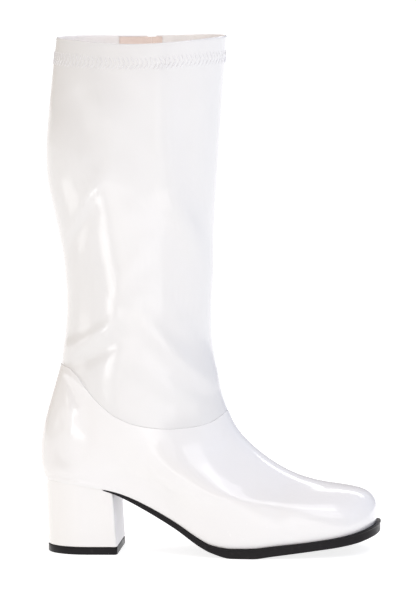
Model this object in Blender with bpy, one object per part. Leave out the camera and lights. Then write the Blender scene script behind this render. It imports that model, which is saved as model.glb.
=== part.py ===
"""A right foot go-go boot: lasted patent foot, stretch patent shaft, block heel and an inner-side zip.

Every length is in millimetres until the last step of a shape. The heel's back is near x 0, the toe
points to +X, the inner side of the foot is +Y, and heel and forefoot stand on z 0.
"""
import bpy
import bmesh
import numpy as np
from collections import namedtuple
from math import atan2, pi, radians

MM = 0.001

# Overall sizes.
BACK_MOST_X = -0.5
SOLE_TIP_X = 254.4
ORIGIN_X = (BACK_MOST_X + SOLE_TIP_X) / 2
GAP = 0.3

# Walls of the foot, of the shaft and of the folded hem at its collar.
FOOT_WALL = 1.6
SHAFT_WALL = 1.4
HEM_WALL = 2.4
HEM_HEIGHT = 22.0
HEM_EDGE_LEVELS = 0.05
SEAM_STEP = 0.4
SEAM_STEP_LEVELS = 3

# Collar dips, as the rim of a soft shaft sags between its front and its back.
RIM_DIP_LATERAL = 3.2
RIM_DIP_MEDIAL = 1.7
RIM_DIP_LEVELS = 2
RIM_DIP_POWER = 1.5

# Zip on the inner side: a straight slot, its two tapes, the closed chain and the slider.
ZIP_X = 83.7
SLOT_WIDTH = 6.4
CHAIN_WIDTH = 5.4
CHAIN_PROUD = 0.2
CHAIN_DEPTH = 1.3
CHAIN_BELOW_SLIDER = 5.2
CHAIN_ABOVE_SLOT_LEVELS = 0.12
CHAIN_ROWS = 24
TAPE_THICKNESS = 0.7
TAPE_CLEAR = 1.2 * GAP
TAPE_SPLIT = 0.6
REAR_TAPE_WIDTH = 24.6
FRONT_TAPE_WIDTH = 8.0
REAR_TAPE_COLUMNS = 5
FRONT_TAPE_COLUMNS = 3
TAPE_ROWS = 20
TAPE_ABOVE_SEAM_LEVELS = (-1.0, -0.4, 1.0, 4.0)
TAPE_BELOW_HEM_LEVELS = (0.25, 0.1)
TAPE_BELOW_COLLAR_LEVELS = (0.35, 0.07)
SLIDER_BELOW_RIM = 14.0

# Sole, insole and heel.
TONGUE_END_X = 50.0
BALL_START_X = 113.0
TOE_START_X = 236.0
FLAT_START_X = 146.0
FLAT_END_X = 161.0
SOLE_RAND = 1.3
SOLE_RAND_STEP = 0.4
SOLE_RAND_SLOPE = 0.1
SOLE_FULL_THICKNESS = 6.0
SOLE_BEVEL = 0.9
SOLE_THINNEST_SHARE = 0.12
WAIST_CUTS = 8
BALL_CUTS = 7
FOREPART_CUTS = 8
TOE_CUTS = 8
INSOLE_THICKNESS = 2.2
INSOLE_INSET = 2.5
INSOLE_EDGE = 0.6
INSOLE_STATIONS = 31
TOP_PIECE_THICKNESS = 5.5
LIFT_BEVEL = 0.5
HEEL_BACK_TOP_X = 3.0
HEEL_BACK_BOTTOM_X = 4.3
BREAST_TOP_X = 57.0
BREAST_BOTTOM_X = 59.0
HEEL_HALF_WIDTH_TOP = 28.4
HEEL_HALF_WIDTH_BOTTOM = 27.4
HEEL_ROUND = 32.0
HEEL_CORNER = 1.6
HEEL_CURVE_POINTS = 11
HEEL_LAYERS = 4
HEEL_SQUARENESS = 0.87
HEEL_SEAT_X = 46.0
SEAT_STEP_X = TONGUE_END_X - 3 * GAP
SEAT_STEP_HALF = 2 * GAP

# How finely the curved forms are cut: ring columns a side, and rows of the foot and of the shaft.
SIDE_COLUMNS = 22
SLOT_COLUMN = 11
ROWS_BELOW_SLOT = 10
ROWS_TO_SEAM = 10
ROWS_TO_HEM = 19
ROWS_OF_HEM = 3

# The rings of the boot, from the edge above the sole up to the collar. A ring runs from a point at
# the back to a point at the front. The last columns say how far it keeps the outline of the last,
# how far it sags with the sole line and with the seam, and how long and square its ends are.
Ring = namedtuple("Ring", "back_x back_z front_x front_z lateral medial last sole seam "
                          "back_cap front_cap toe_power")
RINGS = [
    Ring(3.2, 55.6, 250.6, 21.6, 44.6, 41.4, 1.00, 1.00, 0.00, 0.12, 0.14, 2.4),
    Ring(1.2, 58.8, 252.0, 27.5, 46.0, 42.8, 1.00, 0.98, 0.02, 0.13, 0.15, 2.4),
    Ring(0.0, 62.8, 251.8, 34.0, 46.3, 43.1, 0.98, 0.93, 0.04, 0.14, 0.17, 2.35),
    Ring(-0.4, 67.5, 248.9, 40.3, 46.0, 42.9, 0.94, 0.87, 0.06, 0.16, 0.20, 2.3),
    Ring(-0.5, 73.0, 242.0, 45.8, 45.4, 42.5, 0.88, 0.78, 0.09, 0.19, 0.24, 2.2),
    Ring(-0.2, 79.3, 230.0, 48.7, 44.7, 41.9, 0.80, 0.66, 0.13, 0.23, 0.28, 2.1),
    Ring(0.6, 86.5, 212.0, 51.4, 43.8, 41.2, 0.70, 0.54, 0.18, 0.28, 0.34, 2.0),
    Ring(2.2, 94.8, 194.0, 56.3, 42.6, 40.4, 0.58, 0.42, 0.26, 0.33, 0.39, 2.0),
    Ring(4.7, 104.2, 176.0, 65.4, 41.3, 39.6, 0.44, 0.29, 0.40, 0.39, 0.43, 2.0),
    Ring(7.9, 115.0, 159.5, 78.2, 40.1, 38.9, 0.28, 0.18, 0.62, 0.44, 0.47, 2.0),
    Ring(11.8, 127.8, 147.4, 91.6, 39.1, 38.4, 0.12, 0.07, 0.84, 0.48, 0.49, 2.0),
    Ring(15.7, 141.5, 141.0, 105.2, 38.4, 38.0, 0.00, 0.00, 1.00, 0.50, 0.50, 2.0),
    Ring(17.7, 152.5, 135.9, 122.0, 38.0, 37.7, 0.00, 0.00, 0.80, 0.50, 0.50, 2.0),
    Ring(19.3, 163.0, 132.4, 140.5, 37.8, 37.5, 0.00, 0.00, 0.56, 0.50, 0.50, 2.0),
    Ring(20.5, 174.5, 130.4, 159.5, 37.9, 37.6, 0.00, 0.00, 0.32, 0.50, 0.50, 2.0),
    Ring(21.0, 190.0, 130.3, 182.0, 38.3, 38.0, 0.00, 0.00, 0.12, 0.50, 0.50, 2.0),
    Ring(19.8, 210.0, 131.2, 206.5, 39.1, 38.8, 0.00, 0.00, 0.02, 0.50, 0.50, 2.0),
    Ring(16.8, 234.0, 132.4, 233.0, 40.5, 40.1, 0.00, 0.00, 0.00, 0.50, 0.50, 2.0),
    Ring(11.6, 259.0, 134.0, 259.0, 41.9, 41.5, 0.00, 0.00, 0.00, 0.50, 0.50, 2.0),
    Ring(8.0, 279.0, 135.4, 279.0, 42.8, 42.4, 0.00, 0.00, 0.00, 0.50, 0.50, 2.0),
    Ring(7.2, 299.0, 137.0, 299.0, 43.2, 42.8, 0.00, 0.00, 0.00, 0.50, 0.50, 2.0),
    Ring(9.2, 325.0, 139.0, 325.0, 43.2, 42.9, 0.00, 0.00, 0.00, 0.50, 0.50, 2.0),
    Ring(12.7, 355.0, 141.5, 355.0, 42.8, 42.5, 0.00, 0.00, 0.00, 0.50, 0.50, 2.0),
    Ring(16.8, 385.0, 143.8, 385.0, 42.2, 41.9, 0.00, 0.00, 0.00, 0.50, 0.50, 2.0),
]
SEAM_LEVEL = 11.0
TOP_LEVEL = len(RINGS) - 1.0
SLOT_LEVEL = 5.5
TAPE_LEVEL = 4.9
SEAM_GAP_BELOW = 0.016
SEAM_GAP_ABOVE = 0.012

# The last seen from below, as shares of the ball's half-widths, from the heel to the toe.
Station = namedtuple("Station", "along lateral medial")
LAST_OUTLINE = [
    Station(0.00, 0.59, 0.63),
    Station(0.12, 0.62, 0.66),
    Station(0.25, 0.66, 0.67),
    Station(0.38, 0.73, 0.66),
    Station(0.50, 0.88, 0.75),
    Station(0.58, 0.965, 0.90),
    Station(0.68, 1.00, 1.00),
    Station(0.78, 0.95, 1.00),
    Station(0.88, 0.86, 0.95),
    Station(1.00, 0.74, 0.87),
]

# The seam of foot and shaft lies below the straight line between its ends.
SeamDip = namedtuple("SeamDip", "along dip")
SEAM_DIPS = [
    SeamDip(0.00, 0.0),
    SeamDip(0.06, -0.6),
    SeamDip(0.12, 2.6),
    SeamDip(0.17, 9.0),
    SeamDip(0.26, 18.2),
    SeamDip(0.36, 23.9),
    SeamDip(0.46, 25.4),
    SeamDip(0.60, 23.4),
    SeamDip(0.77, 17.6),
    SeamDip(0.91, 9.6),
    SeamDip(1.00, 0.0),
]

# The sole's top edge and its underside along the foot, how far it stands proud of the last, and
# its gap to the upper, which is wider where the seat bends down into the waist.
SoleStation = namedtuple("SoleStation", "x top bottom proud gap")
SOLE_LINE = [
    SoleStation(0.0, 56.0, 55.0, 0.0, GAP),
    SoleStation(15.0, 54.4, 53.4, 0.0, GAP),
    SoleStation(30.0, 52.8, 51.8, 0.0, GAP),
    SoleStation(50.0, 49.4, 48.3, 0.0, 2 * GAP),
    SoleStation(58.0, 47.6, 45.6, 0.1, 2 * GAP),
    SoleStation(68.0, 44.3, 40.9, 0.2, 2 * GAP),
    SoleStation(86.0, 35.8, 31.0, 0.4, 2.2 * GAP),
    SoleStation(104.0, 25.5, 20.1, 0.7, 2 * GAP),
    SoleStation(122.0, 13.9, 7.9, 1.1, GAP),
    SoleStation(130.0, 10.0, 3.9, 1.3, GAP),
    SoleStation(FLAT_START_X, 7.6, 0.0, 1.6, GAP),
    SoleStation(FLAT_END_X, 7.9, 0.0, 1.8, GAP),
    SoleStation(176.0, 9.6, 1.9, 1.9, GAP),
    SoleStation(207.0, 12.7, 5.6, 2.1, GAP),
    SoleStation(225.0, 15.2, 7.8, 2.3, GAP),
    SoleStation(240.0, 18.2, 10.3, 2.8, GAP),
    SoleStation(248.0, 20.4, 12.5, 3.4, GAP),
    SoleStation(256.0, 22.6, 15.0, 3.8, GAP),
]


def smooth_curve(x, xs, ys):
    """Value at x of the smooth curve through the given points, which never overshoots them."""
    xs = np.asarray(xs, float)
    ys = np.asarray(ys, float)
    step = np.diff(xs)
    rise = np.diff(ys) / step
    slope = np.empty_like(ys)
    slope[0] = rise[0]
    slope[-1] = rise[-1]
    before = 2 * step[1:] + step[:-1]
    after = step[1:] + 2 * step[:-1]
    turning = rise[:-1] * rise[1:] <= 0.0
    left = np.where(turning, 1.0, rise[:-1])
    right = np.where(turning, 1.0, rise[1:])
    slope[1:-1] = np.where(turning, 0.0, (before + after) / (before / left + after / right))
    x = np.clip(x, xs[0], xs[-1])
    i = np.clip(np.searchsorted(xs, x, side="right") - 1, 0, len(xs) - 2)
    t = (x - xs[i]) / step[i]
    start = (1 + 2 * t) * (1 - t) ** 2 * ys[i] + t * (1 - t) ** 2 * step[i] * slope[i]
    end = t * t * (3 - 2 * t) * ys[i + 1] - t * t * (1 - t) * step[i] * slope[i + 1]
    return start + end


def column(table, name):
    """One named column of a table."""
    return [getattr(row, name) for row in table]


def along_sole(x, name):
    """A column of the sole table at a place along the foot."""
    return smooth_curve(x, column(SOLE_LINE, "x"), column(SOLE_LINE, name))


def at_level(v, name):
    """A column of the ring table at a level, which may lie between two rings."""
    return smooth_curve(v, np.arange(len(RINGS)), column(RINGS, name))


def rounded_end(share, power):
    """Half-width of a rounded end: 1 where share is 0, and 0 at the tip, where share is 1."""
    return (1 - np.clip(share, 0, 1) ** power) ** (1 / power)


def ring_position(q, v):
    """Share u of the way from back to front, and whether it is on the outer side, at round place q.

    q runs from 0 at the back along the outer side to 1 at the front, and back along the inner side
    to 2. On the inner side two neighbouring columns follow the edges of the zip slot.
    """
    q = np.mod(q, 2.0)
    outer_side = q <= 1.0
    half = np.where(outer_side, q, 2.0 - q)
    u = (1 - np.cos(pi * half)) / 2
    low, high = slot_shares(v)
    even = [(1 - np.cos(pi * k / SIDE_COLUMNS)) / 2 for k in (SLOT_COLUMN, SLOT_COLUMN + 1)]
    below = u / even[0] * low
    within = low + (u - even[0]) / (even[1] - even[0]) * (high - low)
    above = high + (u - even[1]) / (1 - even[1]) * (1 - high)
    warped = np.where(u < even[0], below, np.where(u < even[1], within, above))
    return np.where(outer_side, u, warped), outer_side


def slot_shares(v):
    """The shares u at which the two edges of the zip slot cross the ring at level v."""
    back = at_level(v, "back_x")
    length = at_level(v, "front_x") - back
    return [(ZIP_X + side * SLOT_WIDTH / 2 - back) / length for side in (-1, 1)]


def surface_at(u, outer_side, v):
    """Point of the boot's outer surface at share u of a side, at level v."""
    back_x, front_x = at_level(v, "back_x"), at_level(v, "front_x")
    back_z, front_z = at_level(v, "back_z"), at_level(v, "front_z")
    x = back_x + u * (front_x - back_x)
    first = RINGS[0]
    sole_x = first.back_x + u * (first.front_x - first.back_x)
    sole_sag = along_sole(sole_x, "top") - (first.back_z + u * (first.front_z - first.back_z))
    seam_sag = -smooth_curve(u, column(SEAM_DIPS, "along"), column(SEAM_DIPS, "dip"))
    rim_dip = np.where(outer_side, RIM_DIP_LATERAL, RIM_DIP_MEDIAL)
    near_rim = np.clip(v - (TOP_LEVEL - RIM_DIP_LEVELS), 0, RIM_DIP_LEVELS) / RIM_DIP_LEVELS
    rim_sag = -rim_dip * np.sin(pi * u) ** RIM_DIP_POWER * near_rim
    z = back_z + u * (front_z - back_z)
    z = z + at_level(v, "sole") * sole_sag + at_level(v, "seam") * seam_sag + rim_sag
    stations = column(LAST_OUTLINE, "along")
    outline = np.where(outer_side,
                       smooth_curve(u, stations, column(LAST_OUTLINE, "lateral")),
                       smooth_curve(u, stations, column(LAST_OUTLINE, "medial")))
    last = at_level(v, "last")
    body = last * outline + (1 - last)
    back_cap, front_cap = at_level(v, "back_cap"), at_level(v, "front_cap")
    ends = rounded_end((back_cap - u) / back_cap, 2.0)
    ends = ends * rounded_end((u - (1 - front_cap)) / front_cap, at_level(v, "toe_power"))
    half_width = np.where(outer_side, -at_level(v, "lateral"), at_level(v, "medial"))
    return np.stack(np.broadcast_arrays(x, half_width * body * ends, z), axis=-1)


def boot_point(q, v):
    """Point of the boot's outer surface at round place q and level v."""
    u, outer_side = ring_position(q, v)
    return surface_at(u, outer_side, v)


def boot_normal(q, v):
    """Outward direction of the surface at round place q and level v."""
    step = 0.002
    along = boot_point(q + step, v) - boot_point(q - step, v)
    up = boot_point(q, np.minimum(v + step, TOP_LEVEL)) - boot_point(q, np.maximum(v - step, 0.0))
    normal = np.cross(along, up)
    return normal / np.linalg.norm(normal, axis=-1, keepdims=True)


def ring_grid(levels, depth):
    """Rings of points at the given levels, each sunk below the outer surface by its own depth."""
    q = np.arange(2 * SIDE_COLUMNS)[None, :] / SIDE_COLUMNS
    v = np.asarray(levels)[:, None]
    sink = np.asarray(depth)[:, None, None]
    return boot_point(q, v) - sink * boot_normal(q, v)


def inner_side_grid(xs, levels, depth):
    """Points on the inner side at given x and levels, sunk by the depth of each level."""
    v = np.asarray(levels)[:, None]
    back = at_level(v, "back_x")
    length = at_level(v, "front_x") - back
    u = (np.asarray(xs)[None, :] - back) / length
    step = 0.002
    inner_side = np.zeros_like(u, bool)
    along = surface_at(u + step, inner_side, v) - surface_at(u - step, inner_side, v)
    up = surface_at(u, inner_side, v + step) - surface_at(u, inner_side, v - step)
    normal = np.cross(up, along)
    normal = normal / np.linalg.norm(normal, axis=-1, keepdims=True)
    return surface_at(u, inner_side, v) - np.asarray(depth)[:, None, None] * normal


def shell(outer, inner, keep, wraps):
    """Vertices and faces of a wall between two grids, made of the cells to keep."""
    rows, columns = outer.shape[:2]
    vertices = np.concatenate([outer.reshape(-1, 3), inner.reshape(-1, 3)])
    sunk = rows * columns
    faces = []

    def corner(row, col):
        return row * columns + col % columns

    def kept(row, col):
        if row < 0 or row >= rows - 1:
            return False
        if wraps:
            return bool(keep[row, col % columns])
        return 0 <= col < columns - 1 and bool(keep[row, col])

    for row in range(rows - 1):
        for col in range(columns if wraps else columns - 1):
            if not kept(row, col):
                continue
            a, b = corner(row, col), corner(row, col + 1)
            c, d = corner(row + 1, col + 1), corner(row + 1, col)
            faces.append((a, b, c, d))
            faces.append((a + sunk, d + sunk, c + sunk, b + sunk))
            edges = [(a, b, row - 1, col), (b, c, row, col + 1),
                     (c, d, row + 1, col), (d, a, row, col - 1)]
            for start, end, next_row, next_col in edges:
                if not kept(next_row, next_col):
                    faces.append((end, start, start + sunk, end + sunk))
    return vertices, faces


def stacked_rings(rings):
    """Vertices and faces of a solid between rings of equal count, closed across at both ends."""
    rings = [np.asarray(ring) for ring in rings]
    count = len(rings[0])
    faces = []
    for level in range(len(rings) - 1):
        low = level * count
        for i in range(count):
            j = (i + 1) % count
            faces.append((low + i, low + j, low + count + j, low + count + i))
    for level, flip in ((0, True), (len(rings) - 1, False)):
        low = level * count
        for i in range(count // 2 - 1):
            quad = (low + i, low + i + 1, low + count - 2 - i, low + count - 1 - i)
            faces.append(quad[::-1] if flip else quad)
    return np.concatenate(rings), faces


def material(name, colour, roughness, metallic=0.0, coat=0.0):
    """A plain Principled material."""
    result = bpy.data.materials.new(name)
    result.use_nodes = True
    shader = result.node_tree.nodes["Principled BSDF"]
    shader.inputs["Base Color"].default_value = (*colour, 1.0)
    shader.inputs["Roughness"].default_value = roughness
    shader.inputs["Metallic"].default_value = metallic
    shader.inputs["Coat Weight"].default_value = coat
    result.diffuse_color = (*colour, 1.0)
    return result


def add_object(name, vertices, faces, finish, at=(ORIGIN_X, 0.0, 0.0), lean=0.0, smooth=True):
    """A mesh object. Its vertices are given in millimetres, and `at` is the point that they start from."""
    points = [tuple(point) for point in np.asarray(vertices, float) * MM]
    mesh = bpy.data.meshes.new(name)
    mesh.from_pydata(points, [], [tuple(int(i) for i in face) for face in faces])
    bm = bmesh.new()
    bm.from_mesh(mesh)
    loose = [vertex for vertex in bm.verts if not vertex.link_faces]
    bmesh.ops.delete(bm, geom=loose, context="VERTS")
    bmesh.ops.recalc_face_normals(bm, faces=bm.faces)
    bm.to_mesh(mesh)
    bm.free()
    mesh.materials.append(finish)
    if smooth:
        mesh.shade_smooth()
        mesh.set_sharp_from_angle(angle=radians(38))
    result = bpy.data.objects.new(name, mesh)
    result.location = ((at[0] - ORIGIN_X) * MM, at[1] * MM, at[2] * MM)
    result.rotation_euler = (lean, 0.0, 0.0)
    bpy.context.scene.collection.objects.link(result)
    return result


def placed(vertices):
    """Points moved so that the boot's origin is at the middle of its length."""
    return np.asarray(vertices, float) - (ORIGIN_X, 0.0, 0.0)


def slot_mask(levels, from_level):
    """Which cells of a ring grid stay, once the zip slot is left out above a level."""
    keep = np.ones((len(levels) - 1, 2 * SIDE_COLUMNS), bool)
    slot_cell = 2 * SIDE_COLUMNS - SLOT_COLUMN - 1
    middles = (np.asarray(levels)[1:] + np.asarray(levels)[:-1]) / 2
    keep[middles > from_level, slot_cell] = False
    return keep


def shaft_sink(levels):
    """How far the shaft lies below the foot's surface, from the seam up to where they agree."""
    left = (SEAM_LEVEL + SEAM_STEP_LEVELS - np.asarray(levels)) / SEAM_STEP_LEVELS
    return SEAM_STEP * np.clip(left, 0, 1) ** 2


def below_collar(distance):
    """The level that lies a distance below the collar, between the two highest rings."""
    top_ring, ring_below = RINGS[-1], RINGS[-2]
    return TOP_LEVEL - distance / (top_ring.back_z - ring_below.back_z)


def add_upper(finish):
    """The lasted foot, one wall open at the seam, at the zip slot and underneath."""
    below_slot = np.linspace(0.0, SLOT_LEVEL, ROWS_BELOW_SLOT)
    above_slot = np.linspace(SLOT_LEVEL, SEAM_LEVEL - SEAM_GAP_BELOW, ROWS_TO_SEAM)[1:]
    levels = np.concatenate([below_slot, above_slot])
    outer = ring_grid(levels, np.zeros(len(levels)))
    inner = ring_grid(levels, np.full(len(levels), FOOT_WALL))
    vertices, faces = shell(outer, inner, slot_mask(levels, SLOT_LEVEL), wraps=True)
    return add_object("upper", placed(vertices), faces, finish)


def add_shaft(finish):
    """The leg of the boot, one wall with a thicker folded hem at its collar and the zip slot."""
    hem = below_collar(HEM_HEIGHT)
    below_hem = np.linspace(SEAM_LEVEL + SEAM_GAP_ABOVE, hem - HEM_EDGE_LEVELS, ROWS_TO_HEM)
    levels = np.concatenate([below_hem, np.linspace(hem, TOP_LEVEL, ROWS_OF_HEM)])
    sink = shaft_sink(levels)
    wall = np.where(levels < hem - HEM_EDGE_LEVELS / 2, SHAFT_WALL, HEM_WALL)
    outer = ring_grid(levels, sink)
    inner = ring_grid(levels, sink + wall)
    vertices, faces = shell(outer, inner, slot_mask(levels, SEAM_LEVEL - 1), wraps=True)
    return add_object("shaft", placed(vertices), faces, finish)


def last_outline(xs, spread):
    """Closed outline of the last at its lower edge, moved outward by the spread at each x.

    It runs along the outer side from the first x to the last, and back along the inner side.
    """
    first = RINGS[0]
    u = (np.asarray(xs) - first.back_x) / (first.front_x - first.back_x)
    step = 1e-4
    sides = []
    for outer_side, sign in ((True, -1.0), (False, 1.0)):
        flags = np.full(len(u), outer_side)
        here = surface_at(u, flags, np.zeros(1))[:, :2]
        ahead = surface_at(np.clip(u + step, 0, 1), flags, np.zeros(1))[:, :2]
        behind = surface_at(np.clip(u - step, 0, 1), flags, np.zeros(1))[:, :2]
        way = ahead - behind
        way = way / np.linalg.norm(way, axis=1, keepdims=True)
        outward = np.stack([-sign * way[:, 1], sign * way[:, 0]], axis=1)
        outward[u >= 1.0] = (1.0, 0.0)
        outward[u <= 0.0] = (-1.0, 0.0)
        moved = here + outward * np.broadcast_to(spread, len(u))[:, None]
        sides.append(moved)
    return np.concatenate([sides[0], sides[1][::-1]])


def on_height(outline, height):
    """Ring of points over an outline, at a height worked out from each point's x."""
    return np.column_stack([outline, height(outline[:, 0])])


def sole_stations():
    """Places along the foot where the outsole is cut: close at the ball and at the toe."""
    tip = RINGS[0].front_x
    waist = np.linspace(TONGUE_END_X, BALL_START_X, WAIST_CUTS)
    ball = np.linspace(BALL_START_X, FLAT_START_X, BALL_CUTS)[1:]
    flat = [(FLAT_START_X + FLAT_END_X) / 2]
    forepart = np.linspace(FLAT_END_X, TOE_START_X, FOREPART_CUTS)
    toe = TOE_START_X + (tip - TOE_START_X) * np.sin(np.linspace(0, pi / 2, TOE_CUTS))[1:]
    toe[-1] = tip
    return np.concatenate([waist, ball, flat, forepart, toe])


def sole_edge_share(x):
    """How much of the full rand and bevel the sole's edge has room for: less where it thins out."""
    thickness = along_sole(x, "top") - along_sole(x, "bottom")
    return np.clip(thickness / SOLE_FULL_THICKNESS, SOLE_THINNEST_SHARE, 1.0)


def add_outsole(finish):
    """The thin sole: a rand under the upper, an edge set back below it, and a bevelled underside."""
    def top(x):
        return along_sole(x, "top") - along_sole(x, "gap")

    def rand_bottom(x):
        return top(x) - SOLE_RAND * sole_edge_share(x)

    def edge_top(x):
        return rand_bottom(x) - SOLE_RAND_SLOPE * sole_edge_share(x)

    def bevel_top(x):
        return along_sole(x, "bottom") + SOLE_BEVEL * sole_edge_share(x)

    def underside(x):
        return along_sole(x, "bottom")

    xs = sole_stations()
    proud = along_sole(xs, "proud")
    edge = proud - SOLE_RAND_STEP * sole_edge_share(xs)
    bevelled = edge - SOLE_BEVEL * sole_edge_share(xs)
    layers = [(bevelled, underside), (edge, bevel_top), (edge, edge_top), (proud, rand_bottom), (proud, top)]
    rings = [on_height(last_outline(xs, spread), height) for spread, height in layers]
    vertices, faces = stacked_rings(rings)
    return add_object("outsole", placed(vertices), faces, finish)


def add_insole(finish):
    """The sock and board inside the foot, with a slightly rounded upper edge."""
    first = RINGS[0]
    shares = (1 - np.cos(np.linspace(0, pi, INSOLE_STATIONS))) / 2
    xs = first.back_x + shares * (first.front_x - first.back_x)

    def lifted(lift):
        return lambda x: along_sole(x, "top") + lift

    layers = [(0.0, 0.0), (0.0, INSOLE_THICKNESS - INSOLE_EDGE), (INSOLE_EDGE, INSOLE_THICKNESS)]
    rings = [on_height(last_outline(xs, -INSOLE_INSET - inset), lifted(lift)) for inset, lift in layers]
    vertices, faces = stacked_rings(rings)
    return add_object("insole", placed(vertices), faces, finish)


def heel_outline(back_x, breast_x, half_width, spread=0.0):
    """D-shaped outline of the heel from the breast round the back, for both sides in turn."""
    half = half_width + spread
    angles = np.linspace(0, pi / 2, HEEL_CURVE_POINTS)
    curve_x = back_x + HEEL_ROUND - (HEEL_ROUND + spread) * np.cos(angles)
    curve_y = half * np.sin(angles) ** HEEL_SQUARENESS
    side_x = [HEEL_SEAT_X, SEAT_STEP_X - SEAT_STEP_HALF, SEAT_STEP_X + SEAT_STEP_HALF,
              breast_x - HEEL_CORNER, breast_x]
    side_y = [half, half, half, half, half - HEEL_CORNER]
    x = np.concatenate([curve_x, side_x])
    y = np.concatenate([curve_y, side_y])
    outer_side = np.column_stack([x, -y])
    inner_side = np.column_stack([x, y])
    return np.concatenate([outer_side, inner_side[::-1]])


def heel_top(x):
    """Height of the heel's seat: under the upper, and lower where the sole's tongue lies on it."""
    under_upper = along_sole(x, "top") - along_sole(x, "gap")
    under_tongue = along_sole(x, "bottom") - GAP
    return np.where(x > SEAT_STEP_X, under_tongue, under_upper)


def add_heel_block(finish):
    """The covered block heel, with its seat cut to the sole's line."""
    low = TOP_PIECE_THICKNESS + GAP
    bottom = np.array([HEEL_BACK_BOTTOM_X, BREAST_BOTTOM_X, HEEL_HALF_WIDTH_BOTTOM])
    top = np.array([HEEL_BACK_TOP_X, BREAST_TOP_X, HEEL_HALF_WIDTH_TOP])
    rings = []
    for share in np.linspace(0.0, 1.0, HEEL_LAYERS):
        outline = heel_outline(*(bottom + share * (top - bottom)))
        height = low + share * (heel_top(outline[:, 0]) - low)
        rings.append(np.column_stack([outline, height]))
    vertices, faces = stacked_rings(rings)
    return add_object("heel_block", placed(vertices), faces, finish)


def add_top_piece(finish):
    """The lift that the heel stands on, flat underneath with a small bevel round it."""
    outline = (HEEL_BACK_BOTTOM_X, BREAST_BOTTOM_X, HEEL_HALF_WIDTH_BOTTOM)
    heights = ((-LIFT_BEVEL, 0.0), (0.0, LIFT_BEVEL), (0.0, TOP_PIECE_THICKNESS))
    rings = []
    for spread, height in heights:
        ring = heel_outline(*outline, spread=spread)
        rings.append(np.column_stack([ring, np.full(len(ring), height)]))
    vertices, faces = stacked_rings(rings)
    return add_object("top_piece", placed(vertices), faces, finish)


def tape_depth(levels):
    """Depth of the tapes' outer face below the boot's surface, always clear of the wall."""
    foot = FOOT_WALL + TAPE_CLEAR
    shaft = SHAFT_WALL + TAPE_CLEAR
    near_seam = [SEAM_LEVEL + above for above in TAPE_ABOVE_SEAM_LEVELS]
    near_hem = [below_collar(HEM_HEIGHT) - below for below in TAPE_BELOW_HEM_LEVELS]
    depths = [foot, shaft + SEAM_STEP, shaft + SEAM_STEP, shaft, shaft, HEM_WALL + TAPE_CLEAR]
    return np.interp(levels, near_seam + near_hem, depths)


def add_tape(name, start_x, end_x, columns, finish):
    """One tape of the zip, a thin strip inside the wall from under the slot to the collar."""
    hem_start, hem_end = (below_collar(HEM_HEIGHT) - below for below in TAPE_BELOW_HEM_LEVELS)
    near_collar = [TOP_LEVEL - below for below in TAPE_BELOW_COLLAR_LEVELS]
    levels = np.concatenate([np.linspace(TAPE_LEVEL, hem_start, TAPE_ROWS), [hem_end], near_collar])
    depth = tape_depth(levels)
    xs = np.linspace(start_x, end_x, columns)
    outer = inner_side_grid(xs, levels, depth)
    inner = inner_side_grid(xs, levels, depth + TAPE_THICKNESS)
    keep = np.ones((len(levels) - 1, columns - 1), bool)
    vertices, faces = shell(outer, inner, keep, wraps=False)
    return add_object(name, placed(vertices), faces, finish)


def add_chain(finish):
    """The closed chain, a slim band that fills the slot up to the slider."""
    top = below_collar(SLIDER_BELOW_RIM + CHAIN_BELOW_SLIDER)
    levels = np.linspace(SLOT_LEVEL + CHAIN_ABOVE_SLOT_LEVELS, top, CHAIN_ROWS)
    half = CHAIN_WIDTH / 2
    xs = np.array([ZIP_X - half, ZIP_X, ZIP_X + half])
    outer = inner_side_grid(xs, levels, np.full(len(levels), -CHAIN_PROUD))
    outer[:, (0, 2), 1] -= 2 * CHAIN_PROUD
    inner = inner_side_grid(xs, levels, np.full(len(levels), CHAIN_DEPTH))
    keep = np.ones((len(levels) - 1, 2), bool)
    vertices, faces = shell(outer, inner, keep, wraps=False)
    return add_object("zip_chain", placed(vertices), faces, finish)


# Slider and pull, in the slider's own frame: X across the zip, Y away from the boot, Z up it.
PLATE_CLEAR = 0.45
PLATE_THICKNESS = 1.1
PLATE_HALF_HEIGHT = 4.8
PLATE_HALF_WIDTH_TOP = 3.9
PLATE_HALF_WIDTH_BOTTOM = 3.1
CORE_HALF_WIDTH = 2.5
CORE_DEPTH = 1.0
CORE_INSET = 0.4
UNION_SINK = 0.2
BRIDGE_HALF_WIDTH = 0.8
BRIDGE_OPENING_HALF = 1.7
BRIDGE_LEG = 1.0
PIN_HALF = 0.6
PIN_Y = 2.75
BRIDGE_OPENING_TOP = 3.95
BRIDGE_CROWN_DROP = 0.5
BRIDGE_CROWN_CUT = 0.6

# The pull from its eye down: an eye bar, a window, a waist and a tip, each row with its half-width.
WINDOW_HALF_WIDTH = 1.4
PullRow = namedtuple("PullRow", "z half_width")
PULL_ROWS = [
    PullRow(PIN_HALF, 2.5),
    PullRow(-PIN_HALF, 3.0),
    PullRow(-4.0, 3.0),
    PullRow(-10.0, 2.3),
    PullRow(-25.0, 3.0),
    PullRow(-27.0, 1.8),
]
WINDOW_ROW = 1
SLOPE_STEP_LEVELS = 0.1


def slider_seat():
    """Point on the surface behind the slider, and the lean of the surface about X."""
    level = np.array([below_collar(SLIDER_BELOW_RIM)])
    seat = inner_side_grid([ZIP_X], level, [0.0])[0, 0]
    above = inner_side_grid([ZIP_X], level + SLOPE_STEP_LEVELS, [0.0])[0, 0]
    rise = above - seat
    return seat, atan2(-rise[1], rise[2])


def extrusion(profile, half_width):
    """Vertices and faces of a (y, z) profile swept across X."""
    count = len(profile)
    vertices = [(side * half_width, y, z) for side in (-1, 1) for y, z in profile]
    faces = [tuple(range(count)), tuple(range(2 * count - 1, count - 1, -1))]
    for i in range(count):
        j = (i + 1) % count
        faces.append((i, i + count, j + count, j))
    return vertices, faces


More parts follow.
